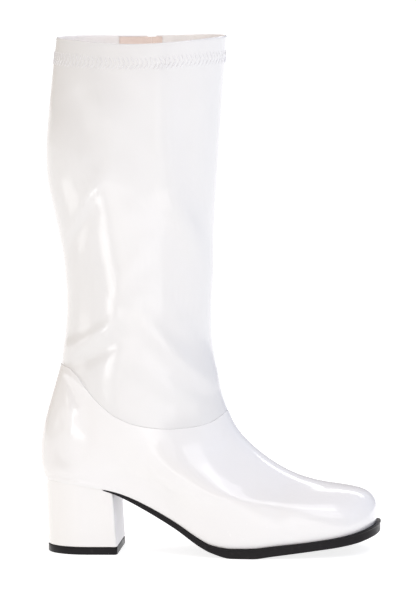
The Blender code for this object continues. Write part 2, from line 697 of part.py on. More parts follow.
def hide_as_tool(obj):
    """Mark an object as a helper of a Boolean."""
    obj.hide_render = True
    obj.display_type = "WIRE"


def add_slider(finish):
    """The slider: a flared plate over the slot, a core in it and a bridge for the pull."""
    seat, lean = slider_seat()
    low, high = -PLATE_HALF_HEIGHT, PLATE_HALF_HEIGHT
    front, back = PLATE_CLEAR + PLATE_THICKNESS, PLATE_CLEAR
    corners = [(-PLATE_HALF_WIDTH_BOTTOM, low), (PLATE_HALF_WIDTH_BOTTOM, low),
               (PLATE_HALF_WIDTH_TOP, high), (-PLATE_HALF_WIDTH_TOP, high)]
    vertices = [(x, y, z) for y in (back, front) for x, z in corners]
    faces = [(0, 1, 2, 3), (7, 6, 5, 4)] + [(i, i + 4, (i + 1) % 4 + 4, (i + 1) % 4) for i in range(4)]
    slider = add_object("zip_slider", vertices, faces, finish, at=seat, lean=lean, smooth=False)
    core_low, core_high = low + CORE_INSET, high - CORE_INSET
    core_profile = [(-CORE_DEPTH, core_low), (back + UNION_SINK, core_low),
                    (back + UNION_SINK, core_high), (-CORE_DEPTH, core_high)]
    core = add_object("slider_core_tool", *extrusion(core_profile, CORE_HALF_WIDTH), finish,
                      at=seat, lean=lean, smooth=False)
    inside, outside = BRIDGE_OPENING_HALF, BRIDGE_OPENING_HALF + BRIDGE_LEG
    root, arch = front - UNION_SINK, BRIDGE_OPENING_TOP
    crown = arch + BRIDGE_LEG
    shoulder, cut = crown - BRIDGE_CROWN_DROP, outside - BRIDGE_CROWN_CUT
    bridge_profile = [(root, -outside), (shoulder, -outside), (crown, -cut),
                      (crown, cut), (shoulder, outside), (root, outside),
                      (root, inside), (arch, inside), (arch, -inside), (root, -inside)]
    bridge = add_object("slider_bridge_tool", *extrusion(bridge_profile, BRIDGE_HALF_WIDTH), finish,
                        at=seat, lean=lean, smooth=False)
    for tool in (core, bridge):
        hide_as_tool(tool)
        union = slider.modifiers.new(tool.name, "BOOLEAN")
        union.operation = "UNION"
        union.solver = "EXACT"
        union.object = tool
    return slider


def add_pull(finish):
    """The pull tab with its window, made about the axis that it swings on."""
    seat, lean = slider_seat()
    out = np.array([0.0, np.cos(lean), np.sin(lean)])
    pin = seat + PIN_Y * out
    grid = np.array([[(x, row.z) for x in (-row.half_width, -WINDOW_HALF_WIDTH,
                                           WINDOW_HALF_WIDTH, row.half_width)]
                     for row in PULL_ROWS])
    thick = np.full(grid.shape[:2], PIN_HALF)
    outer = np.stack([grid[..., 0], thick, grid[..., 1]], axis=-1)
    inner = np.stack([grid[..., 0], -thick, grid[..., 1]], axis=-1)
    keep = np.ones((len(PULL_ROWS) - 1, 3), bool)
    keep[WINDOW_ROW, 1] = False
    vertices, faces = shell(outer, inner, keep, wraps=False)
    return add_object("zip_pull", vertices, faces, finish, at=pin, lean=lean, smooth=False)


def build():
    """Clear the scene and make every piece of the boot."""
    for obj in list(bpy.data.objects):
        bpy.data.objects.remove(obj, do_unlink=True)
    patent = material("white_patent", (0.86, 0.85, 0.86), 0.12, coat=1.0)
    stretch = material("white_stretch_patent", (0.86, 0.85, 0.86), 0.15, coat=1.0)
    covering = material("white_heel_cover", (0.86, 0.85, 0.86), 0.12, coat=1.0)
    rubber = material("black_rubber", (0.012, 0.011, 0.013), 0.4)
    sock = material("beige_sock", (0.72, 0.66, 0.60), 0.8)
    tape = material("beige_tape", (0.78, 0.70, 0.63), 0.85)
    coil = material("white_coil", (0.82, 0.81, 0.80), 0.4)
    metal = material("nickel", (0.60, 0.60, 0.62), 0.25, metallic=1.0)
    add_upper(patent)
    add_shaft(stretch)
    add_outsole(rubber)
    add_insole(sock)
    add_heel_block(covering)
    add_top_piece(rubber)
    split = TAPE_SPLIT / 2
    add_tape("zip_tape_rear", ZIP_X - split - REAR_TAPE_WIDTH, ZIP_X - split,
             REAR_TAPE_COLUMNS, tape)
    add_tape("zip_tape_front", ZIP_X + split, ZIP_X + split + FRONT_TAPE_WIDTH,
             FRONT_TAPE_COLUMNS, tape)
    add_chain(coil)
    add_slider(metal)
    add_pull(metal)


build()
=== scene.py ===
# %% [markdown]
# A white patent go-go boot for the right foot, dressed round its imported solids.
#
# The boot is a lasted foot, a stretch shaft, a thin black sole, a covered block heel with a black
# lift, a sock inside and a zip on the inner side. Each piece below is made again as a fine mesh
# from the same rings as the solids, and rides on the solid's body. Everything is worked out in the
# shoe's own millimetres first, with x measured from the back of the heel, and then moved into the
# frame in metres.

# %% Load the solids and keep their box
from collections import namedtuple
from math import cos, pi, radians, sin
import bmesh
import bpy
import numpy as np
from mathutils import Matrix, Vector


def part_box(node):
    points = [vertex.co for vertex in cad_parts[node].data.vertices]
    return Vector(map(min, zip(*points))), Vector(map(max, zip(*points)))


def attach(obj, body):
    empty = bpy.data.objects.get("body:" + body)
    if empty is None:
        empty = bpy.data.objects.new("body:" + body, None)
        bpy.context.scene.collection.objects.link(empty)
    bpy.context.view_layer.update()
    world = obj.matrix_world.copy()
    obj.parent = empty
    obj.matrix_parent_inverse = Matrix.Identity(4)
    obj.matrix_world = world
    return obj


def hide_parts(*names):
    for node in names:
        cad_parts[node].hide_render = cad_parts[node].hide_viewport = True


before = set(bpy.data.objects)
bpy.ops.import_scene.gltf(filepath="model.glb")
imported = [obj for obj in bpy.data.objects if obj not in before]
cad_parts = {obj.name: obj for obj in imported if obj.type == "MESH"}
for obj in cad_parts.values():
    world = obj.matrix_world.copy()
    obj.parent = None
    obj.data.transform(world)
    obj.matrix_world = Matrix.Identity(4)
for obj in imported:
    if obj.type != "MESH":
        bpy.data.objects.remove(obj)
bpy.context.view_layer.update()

MM = 0.001
scene = bpy.context.scene

# %% [markdown]
# The shape of a boot can be drawn with curves, sculpted, or worked out as rings. Rings suit it,
# because a last is drawn in sections: each ring runs round the boot from the back to the front,
# and its row says where it starts and ends, how wide it is, and how far it follows the sole or the
# seam. The numbers are the boot's own, measured from the photo at 0.745 mm to the pixel.

# %% The rings, the outline of the last, the seam and the sole line
Ring = namedtuple("Ring", "back_x back_z front_x front_z lateral medial last sole seam "
                          "back_cap front_cap toe_power", defaults=(0.0, 0.0, 0.0, 0.5, 0.5, 2.0))
RINGS = [
    Ring(3.2, 55.6, 250.6, 21.6, 44.6, 41.4, 1.00, 1.00, 0.00, 0.12, 0.14, 2.4),
    Ring(1.2, 58.8, 252.0, 27.5, 46.0, 42.8, 1.00, 0.98, 0.02, 0.13, 0.15, 2.4),
    Ring(0.0, 62.8, 251.8, 34.0, 46.3, 43.1, 0.98, 0.93, 0.04, 0.14, 0.17, 2.35),
    Ring(-0.4, 67.5, 248.9, 40.3, 46.0, 42.9, 0.94, 0.87, 0.06, 0.16, 0.20, 2.3),
    Ring(-0.5, 73.0, 242.0, 45.8, 45.4, 42.5, 0.88, 0.78, 0.09, 0.19, 0.24, 2.2),
    Ring(-0.2, 79.3, 230.0, 48.7, 44.7, 41.9, 0.80, 0.66, 0.13, 0.23, 0.28, 2.1),
    Ring(0.6, 86.5, 212.0, 51.4, 43.8, 41.2, 0.70, 0.54, 0.18, 0.28, 0.34),
    Ring(2.2, 94.8, 194.0, 56.3, 42.6, 40.4, 0.58, 0.42, 0.26, 0.33, 0.39),
    Ring(4.7, 104.2, 176.0, 65.4, 41.3, 39.6, 0.44, 0.29, 0.40, 0.39, 0.43),
    Ring(7.9, 115.0, 159.5, 78.2, 40.1, 38.9, 0.28, 0.18, 0.62, 0.44, 0.47),
    Ring(11.8, 127.8, 147.4, 91.6, 39.1, 38.4, 0.12, 0.07, 0.84, 0.48, 0.49),
    Ring(15.7, 141.5, 141.0, 105.2, 38.4, 38.0, seam=1.00),
    Ring(17.7, 152.5, 135.9, 122.0, 38.0, 37.7, seam=0.80),
    Ring(19.3, 163.0, 132.4, 140.5, 37.8, 37.5, seam=0.56),
    Ring(20.5, 174.5, 130.4, 159.5, 37.9, 37.6, seam=0.32),
    Ring(21.0, 190.0, 130.3, 182.0, 38.3, 38.0, seam=0.12),
    Ring(19.8, 210.0, 131.2, 206.5, 39.1, 38.8, seam=0.02),
    Ring(16.8, 234.0, 132.4, 233.0, 40.5, 40.1),
    Ring(11.6, 259.0, 134.0, 259.0, 41.9, 41.5),
    Ring(8.0, 279.0, 135.4, 279.0, 42.8, 42.4),
    Ring(7.2, 299.0, 137.0, 299.0, 43.2, 42.8),
    Ring(9.2, 325.0, 139.0, 325.0, 43.2, 42.9),
    Ring(12.7, 355.0, 141.5, 355.0, 42.8, 42.5),
    Ring(16.8, 385.0, 143.8, 385.0, 42.2, 41.9),
]
Station = namedtuple("Station", "along lateral medial")
LAST_OUTLINE = [Station(*row) for row in (
    (0.00, 0.59, 0.63), (0.12, 0.62, 0.66), (0.25, 0.66, 0.67),
    (0.38, 0.73, 0.66), (0.50, 0.88, 0.75), (0.58, 0.965, 0.90),
    (0.68, 1.00, 1.00), (0.78, 0.95, 1.00), (0.88, 0.86, 0.95),
    (1.00, 0.74, 0.87),
)]
SeamDip = namedtuple("SeamDip", "along dip")
SEAM_DIPS = [SeamDip(*row) for row in (
    (0.00, 0.0), (0.06, -0.6), (0.12, 2.6), (0.17, 9.0),
    (0.26, 18.2), (0.36, 23.9), (0.46, 25.4), (0.60, 23.4),
    (0.77, 17.6), (0.91, 9.6), (1.00, 0.0),
)]
SoleStation = namedtuple("SoleStation", "x top bottom proud")
FLAT_START_X, FLAT_END_X = 146.0, 161.0
SOLE_LINE = [SoleStation(*row) for row in (
    (0.0, 56.0, 55.0, 0.0), (15.0, 54.4, 53.4, 0.0),
    (30.0, 52.8, 51.8, 0.0), (50.0, 49.4, 48.3, 0.0),
    (58.0, 47.6, 45.6, 0.1), (68.0, 44.3, 40.9, 0.2),
    (86.0, 35.8, 31.0, 0.4), (104.0, 25.5, 20.1, 0.7),
    (122.0, 13.9, 7.9, 1.1), (130.0, 10.0, 3.9, 1.3),
    (FLAT_START_X, 7.6, 0.0, 1.6), (FLAT_END_X, 7.9, 0.0, 1.8),
    (176.0, 9.6, 1.9, 1.9), (207.0, 12.7, 5.6, 2.1),
    (225.0, 15.2, 7.8, 2.3), (240.0, 18.2, 10.3, 2.8),
    (248.0, 20.4, 12.5, 3.4), (256.0, 22.6, 15.0, 3.8),
)]
SEAM_LEVEL = 11.0
TOP_LEVEL = len(RINGS) - 1.0
RIM_DIP_LATERAL, RIM_DIP_MEDIAL = 3.2, 1.7
ZIP_X, SLOT_WIDTH = 83.7, 6.4
print("rings", len(RINGS), "seam at level", SEAM_LEVEL, "collar at level", TOP_LEVEL)

# %% [markdown]
# A table is read with a curve that passes through its rows and never overshoots. Patent shows each
# small kink in such a curve as a bent highlight, so the ring table is read at five places close
# together and averaged, which rounds the kinks off and moves the surface by a fraction of a
# millimetre.

# %% Reading the tables
SOFTEN_REACH = 0.45
SOFTEN_WEIGHTS = ((-1.0, 1), (-0.5, 3), (0.0, 4), (0.5, 3), (1.0, 1))


def smooth_curve(x, xs, ys):
    """Value at x of the smooth curve through the given points, which never overshoots them."""
    xs, ys = np.asarray(xs, float), np.asarray(ys, float)
    step = np.diff(xs)
    rise = np.diff(ys) / step
    slope = np.empty_like(ys)
    slope[0], slope[-1] = rise[0], rise[-1]
    before, after = 2 * step[1:] + step[:-1], step[1:] + 2 * step[:-1]
    turning = rise[:-1] * rise[1:] <= 0.0
    left, right = np.where(turning, 1.0, rise[:-1]), np.where(turning, 1.0, rise[1:])
    slope[1:-1] = np.where(turning, 0.0, (before + after) / (before / left + after / right))
    x = np.clip(x, xs[0], xs[-1])
    i = np.clip(np.searchsorted(xs, x, side="right") - 1, 0, len(xs) - 2)
    t = (x - xs[i]) / step[i]
    start = (1 + 2 * t) * (1 - t) ** 2 * ys[i] + t * (1 - t) ** 2 * step[i] * slope[i]
    end = t * t * (3 - 2 * t) * ys[i + 1] - t * t * (1 - t) * step[i] * slope[i + 1]
    return start + end


def column(table, name):
    """One named column of a table."""
    return [getattr(row, name) for row in table]


def along_sole(x, name):
    """A column of the sole table at a place along the foot."""
    return smooth_curve(x, column(SOLE_LINE, "x"), column(SOLE_LINE, name))


def at_level(v, name):
    """A column of the ring table at a level, softened between its rows."""
    v = np.asarray(v, float)
    reach = np.minimum(SOFTEN_REACH, np.minimum(v, TOP_LEVEL - v).clip(0))
    levels, values = np.arange(len(RINGS)), column(RINGS, name)
    total = sum(weight * smooth_curve(v + share * reach, levels, values)
                for share, weight in SOFTEN_WEIGHTS)
    return total / sum(weight for _, weight in SOFTEN_WEIGHTS)


print("ankle width", round(float(at_level(15.0, "lateral") + at_level(15.0, "medial")), 1), "mm")

# %% [markdown]
# Any point of the leather is then found from two numbers: q, which runs once round the boot from
# the back along the outer side to the front and home along the inner side, and v, which climbs
# from the sole to the collar. The direction that the surface faces is found from two short steps.

# %% A point of the boot's surface and its outward direction
SLOT_Q = (1.5, 1.0 + 10.0 / 22.0)


def rounded_end(share, power):
    """Half-width of a rounded end: 1 where share is 0, and 0 at its tip, where share is 1."""
    return (1 - np.clip(share, 0, 1) ** power) ** (1 / power)


def slot_shares(v):
    """How far along the inner side the two edges of the zip slot lie at level v."""
    back = at_level(v, "back_x")
    length = at_level(v, "front_x") - back
    return [(ZIP_X + side * SLOT_WIDTH / 2 - back) / length for side in (-1, 1)]


def surface_at(u, outer_side, v):
    """Point of the outer surface at share u of a side, at level v."""
    back_x, front_x = at_level(v, "back_x"), at_level(v, "front_x")
    back_z, front_z = at_level(v, "back_z"), at_level(v, "front_z")
    first = RINGS[0]
    sole_x = first.back_x + u * (first.front_x - first.back_x)
    sole_sag = along_sole(sole_x, "top") - (first.back_z + u * (first.front_z - first.back_z))
    seam_sag = -smooth_curve(u, column(SEAM_DIPS, "along"), column(SEAM_DIPS, "dip"))
    rim_dip = np.where(outer_side, RIM_DIP_LATERAL, RIM_DIP_MEDIAL)
    rim_sag = -rim_dip * np.sin(pi * u) ** 1.5 * np.clip(v - (TOP_LEVEL - 2), 0, 2) / 2
    z = back_z + u * (front_z - back_z)
    z = z + at_level(v, "sole") * sole_sag + at_level(v, "seam") * seam_sag + rim_sag
    places = column(LAST_OUTLINE, "along")
    outline = np.where(outer_side, smooth_curve(u, places, column(LAST_OUTLINE, "lateral")),
                       smooth_curve(u, places, column(LAST_OUTLINE, "medial")))
    last, back_cap, front_cap = (at_level(v, name) for name in ("last", "back_cap", "front_cap"))
    ends = rounded_end((back_cap - u) / back_cap, 2.0)
    ends = ends * rounded_end((u - (1 - front_cap)) / front_cap, at_level(v, "toe_power"))
    half_width = np.where(outer_side, -at_level(v, "lateral"), at_level(v, "medial"))
    y = half_width * (last * outline + 1 - last) * ends
    return np.stack(np.broadcast_arrays(back_x + u * (front_x - back_x), y, z), axis=-1)


def boot_point(q, v):
    """Point of the outer surface at round place q and level v, in the shoe's millimetres."""
    q = np.mod(q, 2.0)
    outer_side = q <= 1.0
    u = (1 - np.cos(pi * np.where(outer_side, q, 2.0 - q))) / 2
    low, high = slot_shares(v)
    even_low, even_high = ((1 - cos(pi * (2 - edge))) / 2 for edge in SLOT_Q)
    below = u / even_low * low
    within = low + (u - even_low) / (even_high - even_low) * (high - low)
    above = high + (u - even_high) / (1 - even_high) * (1 - high)
    warped = np.where(u < even_low, below, np.where(u < even_high, within, above))
    return surface_at(np.where(outer_side, u, warped), outer_side, v)


def unit(vectors):
    """The same directions at length 1."""
    return vectors / np.linalg.norm(vectors, axis=-1, keepdims=True).clip(1e-9)


def run_along(line):
    """Length run along a line of points, at each of them."""
    return np.concatenate([[0.0], np.cumsum(np.linalg.norm(np.diff(line, axis=0), axis=1))])


def boot_normal(q, v):
    """Outward direction of the surface at round place q and level v."""
    step = 0.004
    along = boot_point(q + step, v) - boot_point(q - step, v)
    up = boot_point(q, np.minimum(v + step, TOP_LEVEL)) - boot_point(q, np.maximum(v - step, 0.0))
    return unit(np.cross(along, up))


def to_frame(points):
    """Points from the shoe's millimetres to the frame's metres."""
    return (np.asarray(points, float) + (SHOE_TO_FRAME_X, 0.0, 0.0)) * MM


HEEL_BACK_X = min(column(RINGS, "back_x"))
SHOE_TO_FRAME_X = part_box("upper")[0].x / MM - HEEL_BACK_X
rim = boot_point(np.linspace(0, 2, 240), np.array(TOP_LEVEL))
print("collar girth", round(float(run_along(rim)[-1])), "mm")

# %% [markdown]
# Worn patent never stays as smooth as its pattern: the leg is soft, so it sags into long shallow
# folds above the ankle, and the foot puckers where it is drawn over the counter. They could be
# simulated, but a few folds placed one by one match the photo better. Each is a curve on one side of
# the boot, in the shoe's own sizes, with a soft rise or hollow across it that fades at its ends.

# %% Folds and hollows of the patent
OUTER, INNER = -1.0, 1.0
FOLD_STEPS, FELT_WIDTHS, SIDE_BLEND_MM = 37, 3.2, 16.0
# A row gives x and height of a fold's start, of its bend and of its end, then its width and its rise.
FOLDS = {
    OUTER: (
        # Ankle: the leg settles on the foot in two slanting folds, from the back and from the front.
        (20, 152, 42, 160, 62, 178, 6.0, 1.2), (22, 143, 44, 148, 66, 164, 6.0, -0.9),
        (136, 124, 110, 140, 84, 178, 9.0, 1.7), (132, 108, 108, 120, 82, 146, 9.0, 0.7),
        (138, 152, 122, 168, 106, 202, 8.0, -1.3),
        # Calf: long soft waves down the leg, and a hollow under the collar.
        (137, 194, 118, 240, 104, 272, 8.0, 1.7), (136, 226, 130, 250, 120, 290, 8.0, -1.2),
        (20, 218, 32, 240, 48, 268, 6.0, -1.2), (24, 238, 38, 262, 56, 288, 7.0, 1.0),
        (60, 190, 74, 205, 84, 232, 12.0, 0.9), (30, 348, 42, 326, 50, 300, 11.0, -0.8),
        (52, 350, 60, 322, 60, 284, 12.0, 1.0), (100, 360, 97, 312, 104, 264, 9.0, 1.3),
        (118, 352, 116, 322, 116, 292, 9.0, -1.0),
        # Foot: puckers at the counter's top, the instep's crest and the flex line over the ball.
        (22, 136, 31, 133, 38, 122, 2.4, 1.1), (20, 131, 26, 126, 30, 113, 2.4, -1.0),
        (24, 126, 25, 106, 24, 78, 5.0, 1.1), (36, 118, 38, 96, 38, 70, 7.0, -0.8),
        (98, 90, 118, 62, 148, 40, 12.0, 1.1), (132, 88, 152, 64, 170, 40, 10.0, -0.8),
        (186, 54, 180, 40, 178, 24, 6.0, -0.5),
    ),
    INNER: (
        # Inner side: the same cloth, held straighter by the zip.
        (20, 150, 36, 158, 56, 170, 6.5, 1.3), (22, 142, 40, 147, 58, 158, 6.0, -1.0),
        (134, 130, 118, 142, 100, 160, 7.0, 1.5), (132, 118, 116, 126, 98, 140, 7.0, -1.1),
        (130, 164, 120, 190, 112, 220, 7.5, -1.1), (24, 232, 34, 250, 48, 272, 8.0, -1.0),
        (112, 340, 110, 300, 116, 262, 11.0, -1.0), (24, 128, 30, 120, 34, 108, 3.0, 0.7),
        (140, 78, 154, 60, 168, 38, 9.0, -0.7),
    ),
}


def soft_step(x):
    """0 below 0, 1 above 1, and a smooth rise between."""
    x = np.clip(x, 0, 1)
    return x * x * (3 - 2 * x)


def fold_rise(points):
    """How far the folds lift each point off the plain surface, in millimetres."""
    flat = points.reshape(-1, 3)
    seen, rise = flat[:, ::2], np.zeros(len(flat))
    t = np.linspace(0, 1, FOLD_STEPS)[:, None]
    for side, (*corners, width, height) in [(side, fold) for side in FOLDS for fold in FOLDS[side]]:
        start, bend, end = np.array(corners, float).reshape(3, 2)
        path = (1 - t) ** 2 * start + 2 * t * (1 - t) * bend + t * t * end
        reach = FELT_WIDTHS * width
        near = np.all((seen > path.min(0) - reach) & (seen < path.max(0) + reach), axis=1)
        gaps = np.linalg.norm(seen[near][:, None] - path[None], axis=2)
        nearest = gaps.argmin(1)
        fade = np.sin(pi * (0.12 + 0.76 * nearest / (FOLD_STEPS - 1)))
        on_side = soft_step(0.5 + side * flat[near, 1] / SIDE_BLEND_MM)
        rise[near] += height * fade * on_side * np.exp(-(gaps.min(1) / width) ** 2)
    return rise.reshape(points.shape[:-1])


print("folds", {side: len(folds) for side, folds in FOLDS.items()})

# %% [markdown]
# A wall of patent is made as a grid of points on its outer face, the same grid sunk by its
# thickness, and faces between them. Cells can be left out, which is how the zip's slot stays open,
# and each open edge is closed by a narrow wall. Edges of real patent are turned over or burnished,
# so the last rows before an edge sink in a quarter circle. The UV map is in millimetres, so that
# weaves and stitches have their true scale.

# %% Grids, walls and objects
def new_object(name, vertices, faces, finish, smooth_angle=40, uvs=None):
    """An object from points in the shoe's millimetres."""
    mesh = bpy.data.meshes.new(name)
    mesh.from_pydata(to_frame(vertices).tolist(), [], faces)
    if uvs is not None:
        layer = mesh.uv_layers.new(name="millimetres")
        layer.uv.foreach_set("vector", np.asarray(uvs, np.float32).ravel())
    bm = bmesh.new()
    bm.from_mesh(mesh)
    loose = [vertex for vertex in bm.verts if not vertex.link_faces]
    bmesh.ops.delete(bm, geom=loose, context="VERTS")
    bmesh.ops.remove_doubles(bm, verts=bm.verts, dist=1e-7)
    bmesh.ops.recalc_face_normals(bm, faces=bm.faces)
    bm.to_mesh(mesh)
    bm.free()
    mesh.shade_smooth()
    mesh.set_sharp_from_angle(angle=radians(smooth_angle))
    mesh.materials.append(finish.material)
    result = bpy.data.objects.new(name, mesh)
    scene.collection.objects.link(result)
    return result


def dressed(name, vertices, faces, finish, node, slot_name, smooth_angle=40, uvs=None):
    """A piece in place of a solid, riding with the boot."""
    result = new_object(name, vertices, faces, finish, smooth_angle, uvs)
    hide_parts(node)
    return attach(result, "boot")


def wall(outer, inner, keep, wraps):
    """Vertices, faces and UVs of a wall between two grids, made of the cells to keep."""
    rows, columns = outer.shape[:2]
    sunk = rows * columns
    closed = np.concatenate([outer, outer[:, :1]], axis=1) if wraps else outer
    across = np.linalg.norm(np.diff(closed, axis=1), axis=2).mean(0)
    upward = np.linalg.norm(np.diff(outer, axis=0), axis=2).mean(1)
    u, v = (np.concatenate([[0.0], np.cumsum(steps)]) for steps in (across, upward))
    faces, uvs = [], []

    def kept(row, col):
        if not 0 <= row < rows - 1 or not (wraps or 0 <= col < columns - 1):
            return False
        return bool(keep[row, col % columns])

    for row in range(rows - 1):
        for col in range(columns if wraps else columns - 1):
            if not kept(row, col):
                continue
            right = (col + 1) % columns
            a, b = row * columns + col, row * columns + right
            c, d = b + columns, a + columns
            corner_uv = {a: (u[col], v[row]), b: (u[col + 1], v[row]),
                         c: (u[col + 1], v[row + 1]), d: (u[col], v[row + 1])}
            new = [(a, b, c, d), (a + sunk, d + sunk, c + sunk, b + sunk)]
            edges = ((a, b, row - 1, col), (b, c, row, col + 1),
                     (c, d, row + 1, col), (d, a, row, col - 1))
            new += [(end, start, start + sunk, end + sunk) for start, end, near_row, near_col in edges
                    if not kept(near_row, near_col)]
            faces += new
            uvs += [corner_uv[index % sunk] for face in new for index in face]
    return np.concatenate([outer.reshape(-1, 3), inner.reshape(-1, 3)]), faces, uvs


def turned_edge(distance, radius):
    """How deep a surface lies at a distance from its edge, where the edge is a quarter circle."""
    share = np.clip(1 - distance / radius, 0, 1)
    return radius * (1 - np.sqrt(1 - share ** 2))


def spread_to_edge(start, end, count, radius):
    """Values from start to end, evenly spread, with a few more close to the end, where an edge is."""
    fine = radius * np.array([0.0, 0.06, 0.18, 0.36, 0.62, 1.0, 1.7])
    return np.unique(np.round(np.concatenate([np.linspace(start, end, count), end - fine]), 6))


print("wall helpers ready")

# %% [markdown]
# A finish is a material built from nodes. Picture textures could carry it, but worked-out patterns
# keep their true scale at any zoom. Object coordinates are metres here, so a noise of scale 500 has
# grains of about 2 mm, and each bump gets its depth in metres.

# %% A helper that builds finishes
def add_node(tree, kind, inputs, output=0, **settings):
    """One shader node, with its inputs set or linked, and the output asked for."""
    new = tree.nodes.new("ShaderNode" + kind)
    for name, value in settings.items():
        setattr(new, name, value)
    for socket, value in inputs.items():
        if isinstance(value, bpy.types.NodeSocket):
            tree.links.new(value, new.inputs[socket])
        else:
            new.inputs[socket].default_value = value
    return new.outputs[output]


class Finish:
    """A Principled material whose nodes are added one call at a time."""

    def __init__(self, name, colour, roughness, **sockets):
        self.material = bpy.data.materials.new(name)
        self.material.use_nodes = True
        self.tree = self.material.node_tree
        self.shader = self.tree.nodes["Principled BSDF"]
        places = self.tree.nodes.new("ShaderNodeTexCoord")
        self.place, self.uv = places.outputs["Object"], places.outputs["UV"]
        self.normal = None
        self.shader.inputs["Base Color"].default_value = (*colour, 1.0)
        self.shader.inputs["Roughness"].default_value = roughness
        for socket, value in sockets.items():
            self.shader.inputs[socket.replace("_", " ")].default_value = value

    def node(self, kind, inputs, output=0, **settings):
        return add_node(self.tree, kind, inputs, output, **settings)

    def noise(self, scale, detail=2.0):
        return self.node("TexNoise", {"Vector": self.place, "Scale": scale, "Detail": detail})

    def maths(self, operation, first, second=0.0, third=0.0):
        return self.node("Math", {0: first, 1: second, 2: third}, operation=operation)

    def between(self, value, start, end, low=0.0, high=1.0):
        """Value moved from the range start to end to the range low to high, and kept in it."""
        return self.node("MapRange", {"Value": value, "From Min": start, "From Max": end,
                                      "To Min": low, "To Max": high})

    def colour(self, share, first, second):
        """Give the base a colour between two others."""
        inputs = {0: share, 6: (*first, 1.0), 7: (*second, 1.0)}
        mixed = self.node("Mix", inputs, output=2, data_type="RGBA")
        self.tree.links.new(mixed, self.shader.inputs["Base Color"])

    def axis(self, place, axis):
        return self.node("SeparateXYZ", {0: place}, output=axis)

    def roughness(self, value):
        self.tree.links.new(value, self.shader.inputs["Roughness"])

    def bump(self, height, depth):
        """Lay one more relief over those before it."""
        inputs = {"Height": height, "Distance": depth, "Strength": 1.0}
        if self.normal is not None:
            inputs["Normal"] = self.normal
        self.normal = self.node("Bump", inputs)
        self.tree.links.new(self.normal, self.shader.inputs["Normal"])
        self.tree.links.new(self.normal, self.shader.inputs["Coat Normal"])


print("finish helper ready")

# %% [markdown]
# Patent is leather or cloth under a thick clear lacquer. A base that scatters white light and a
# coat with a low roughness give that depth. The lacquer is never quite flat: it has a faint orange
# peel, broader waves where it was drawn over the last, and dull rubbed places close to the ground.
# Stretch patent on the leg is greyer and less sharp. The heel's breast, the side that faces the
# toe, has a duller lacquer than its sides and a base a little darker and more lavender, which is
# painted shade.

# %% White patent, stretch patent and the heel's covering
FOOT_WHITE, HEEL_WHITE, LEG_WHITE = (0.792, 0.786, 0.778), (0.80, 0.791, 0.775), (0.722, 0.718, 0.709)


def patent(name, white, peel, wave, rubbed, lacquer):
    """White patent with a peel and a wave of the given depths in metres, and a lacquer's roughness."""
    finish = Finish(name, white, 0.16, Coat_Weight=1.0, Coat_Roughness=lacquer, Coat_IOR=1.52,
                    Specular_IOR_Level=0.4)
    cloudy = finish.between(finish.noise(26.0, 3.0), 0.35, 0.75)
    finish.colour(cloudy, white, [0.98 * part for part in white])
    scuffs = finish.between(finish.noise(310.0, 5.0), 0.60, 0.74)
    low_down = finish.between(finish.axis(finish.place, 2), 0.0, 0.05, rubbed, 0.0)
    dull = finish.maths("MULTIPLY", scuffs, low_down)
    finish.roughness(finish.maths("ADD", finish.between(finish.noise(90.0), 0.3, 0.7, 0.16, 0.26), dull))
    finish.bump(finish.noise(38.0, 1.0), wave)
    finish.bump(finish.noise(620.0, 2.0), peel)
    return finish


upper_patent = patent("foot_patent", FOOT_WHITE, 0.000008, 0.0003, 0.12, 0.08)
heel_patent = patent("heel_patent", HEEL_WHITE, 0.000008, 0.0002, 0.1, 0.04)
shaft_patent = patent("leg_patent", LEG_WHITE, 0.000010, 0.0005, 0.0, 0.13)
# The breast's copy of the patent: a duller lacquer, and a slightly darker lavender base that is painted
# shade.
breast_patent_painted_shade = Finish("breast_patent_painted_shade", (0.80, 0.78, 0.81), 0.4, Coat_Weight=0.55, Coat_Roughness=0.3,
                       Specular_IOR_Level=0.3)
print("patents", [f.material.name for f in (upper_patent, heel_patent, shaft_patent, breast_patent_painted_shade)])

# %% [markdown]
# The rest of the boot is dull beside its patent. The linings, the sock and the tapes are cloth:
# their bump is the crossing of yarns, about a millimetre apart, with a little fuzz that comes from
# sheen. The sole and lift are satin rubber, the thread is smooth polyester and the zip is nickel.

# %% Linings, sock, tape, rubber, thread, coil and nickel
def cloth(name, colour, darker, warp, weft, slant, depth):
    """A woven or knitted cloth, with its yarns warp and weft millimetres apart."""
    finish = Finish(name, colour, 0.86, Sheen_Weight=0.35, Sheen_Roughness=0.5)
    u, v = (finish.axis(finish.uv, axis) for axis in range(2))
    warp_turn = finish.maths("MULTIPLY", u, 2 * pi / warp)
    across = finish.maths("SINE", finish.maths("MULTIPLY_ADD", v, slant, warp_turn))
    along = finish.maths("SINE", finish.maths("MULTIPLY", v, 2 * pi / weft))
    yarns = finish.maths("MULTIPLY", across, along)
    tone = finish.maths("ADD", finish.between(yarns, -1.0, 1.0, 0.0, 0.45),
                        finish.between(finish.noise(60.0, 4.0), 0.3, 0.8, 0.0, 0.55))
    finish.colour(tone, darker, colour)
    finish.bump(yarns, depth)
    finish.bump(finish.noise(2600.0, 2.0), 0.00005)
    return finish


shaft_lining = cloth("shaft_lining", (0.92, 0.895, 0.875), (0.82, 0.79, 0.77), 1.2, 1.0, 0.0, 0.00008)
foot_lining = cloth("foot_lining", (0.86, 0.80, 0.76), (0.74, 0.68, 0.64), 0.8, 0.8, 0.0, 0.00006)
sock_cloth = cloth("sock_cloth", (0.72, 0.66, 0.60), (0.60, 0.54, 0.48), 0.7, 0.7, 0.0, 0.00005)
tape_weave = cloth("tape_weave", (0.93, 0.79, 0.71), (0.80, 0.64, 0.56), 1.1, 0.8, 2 * pi / 1.6, 0.00012)

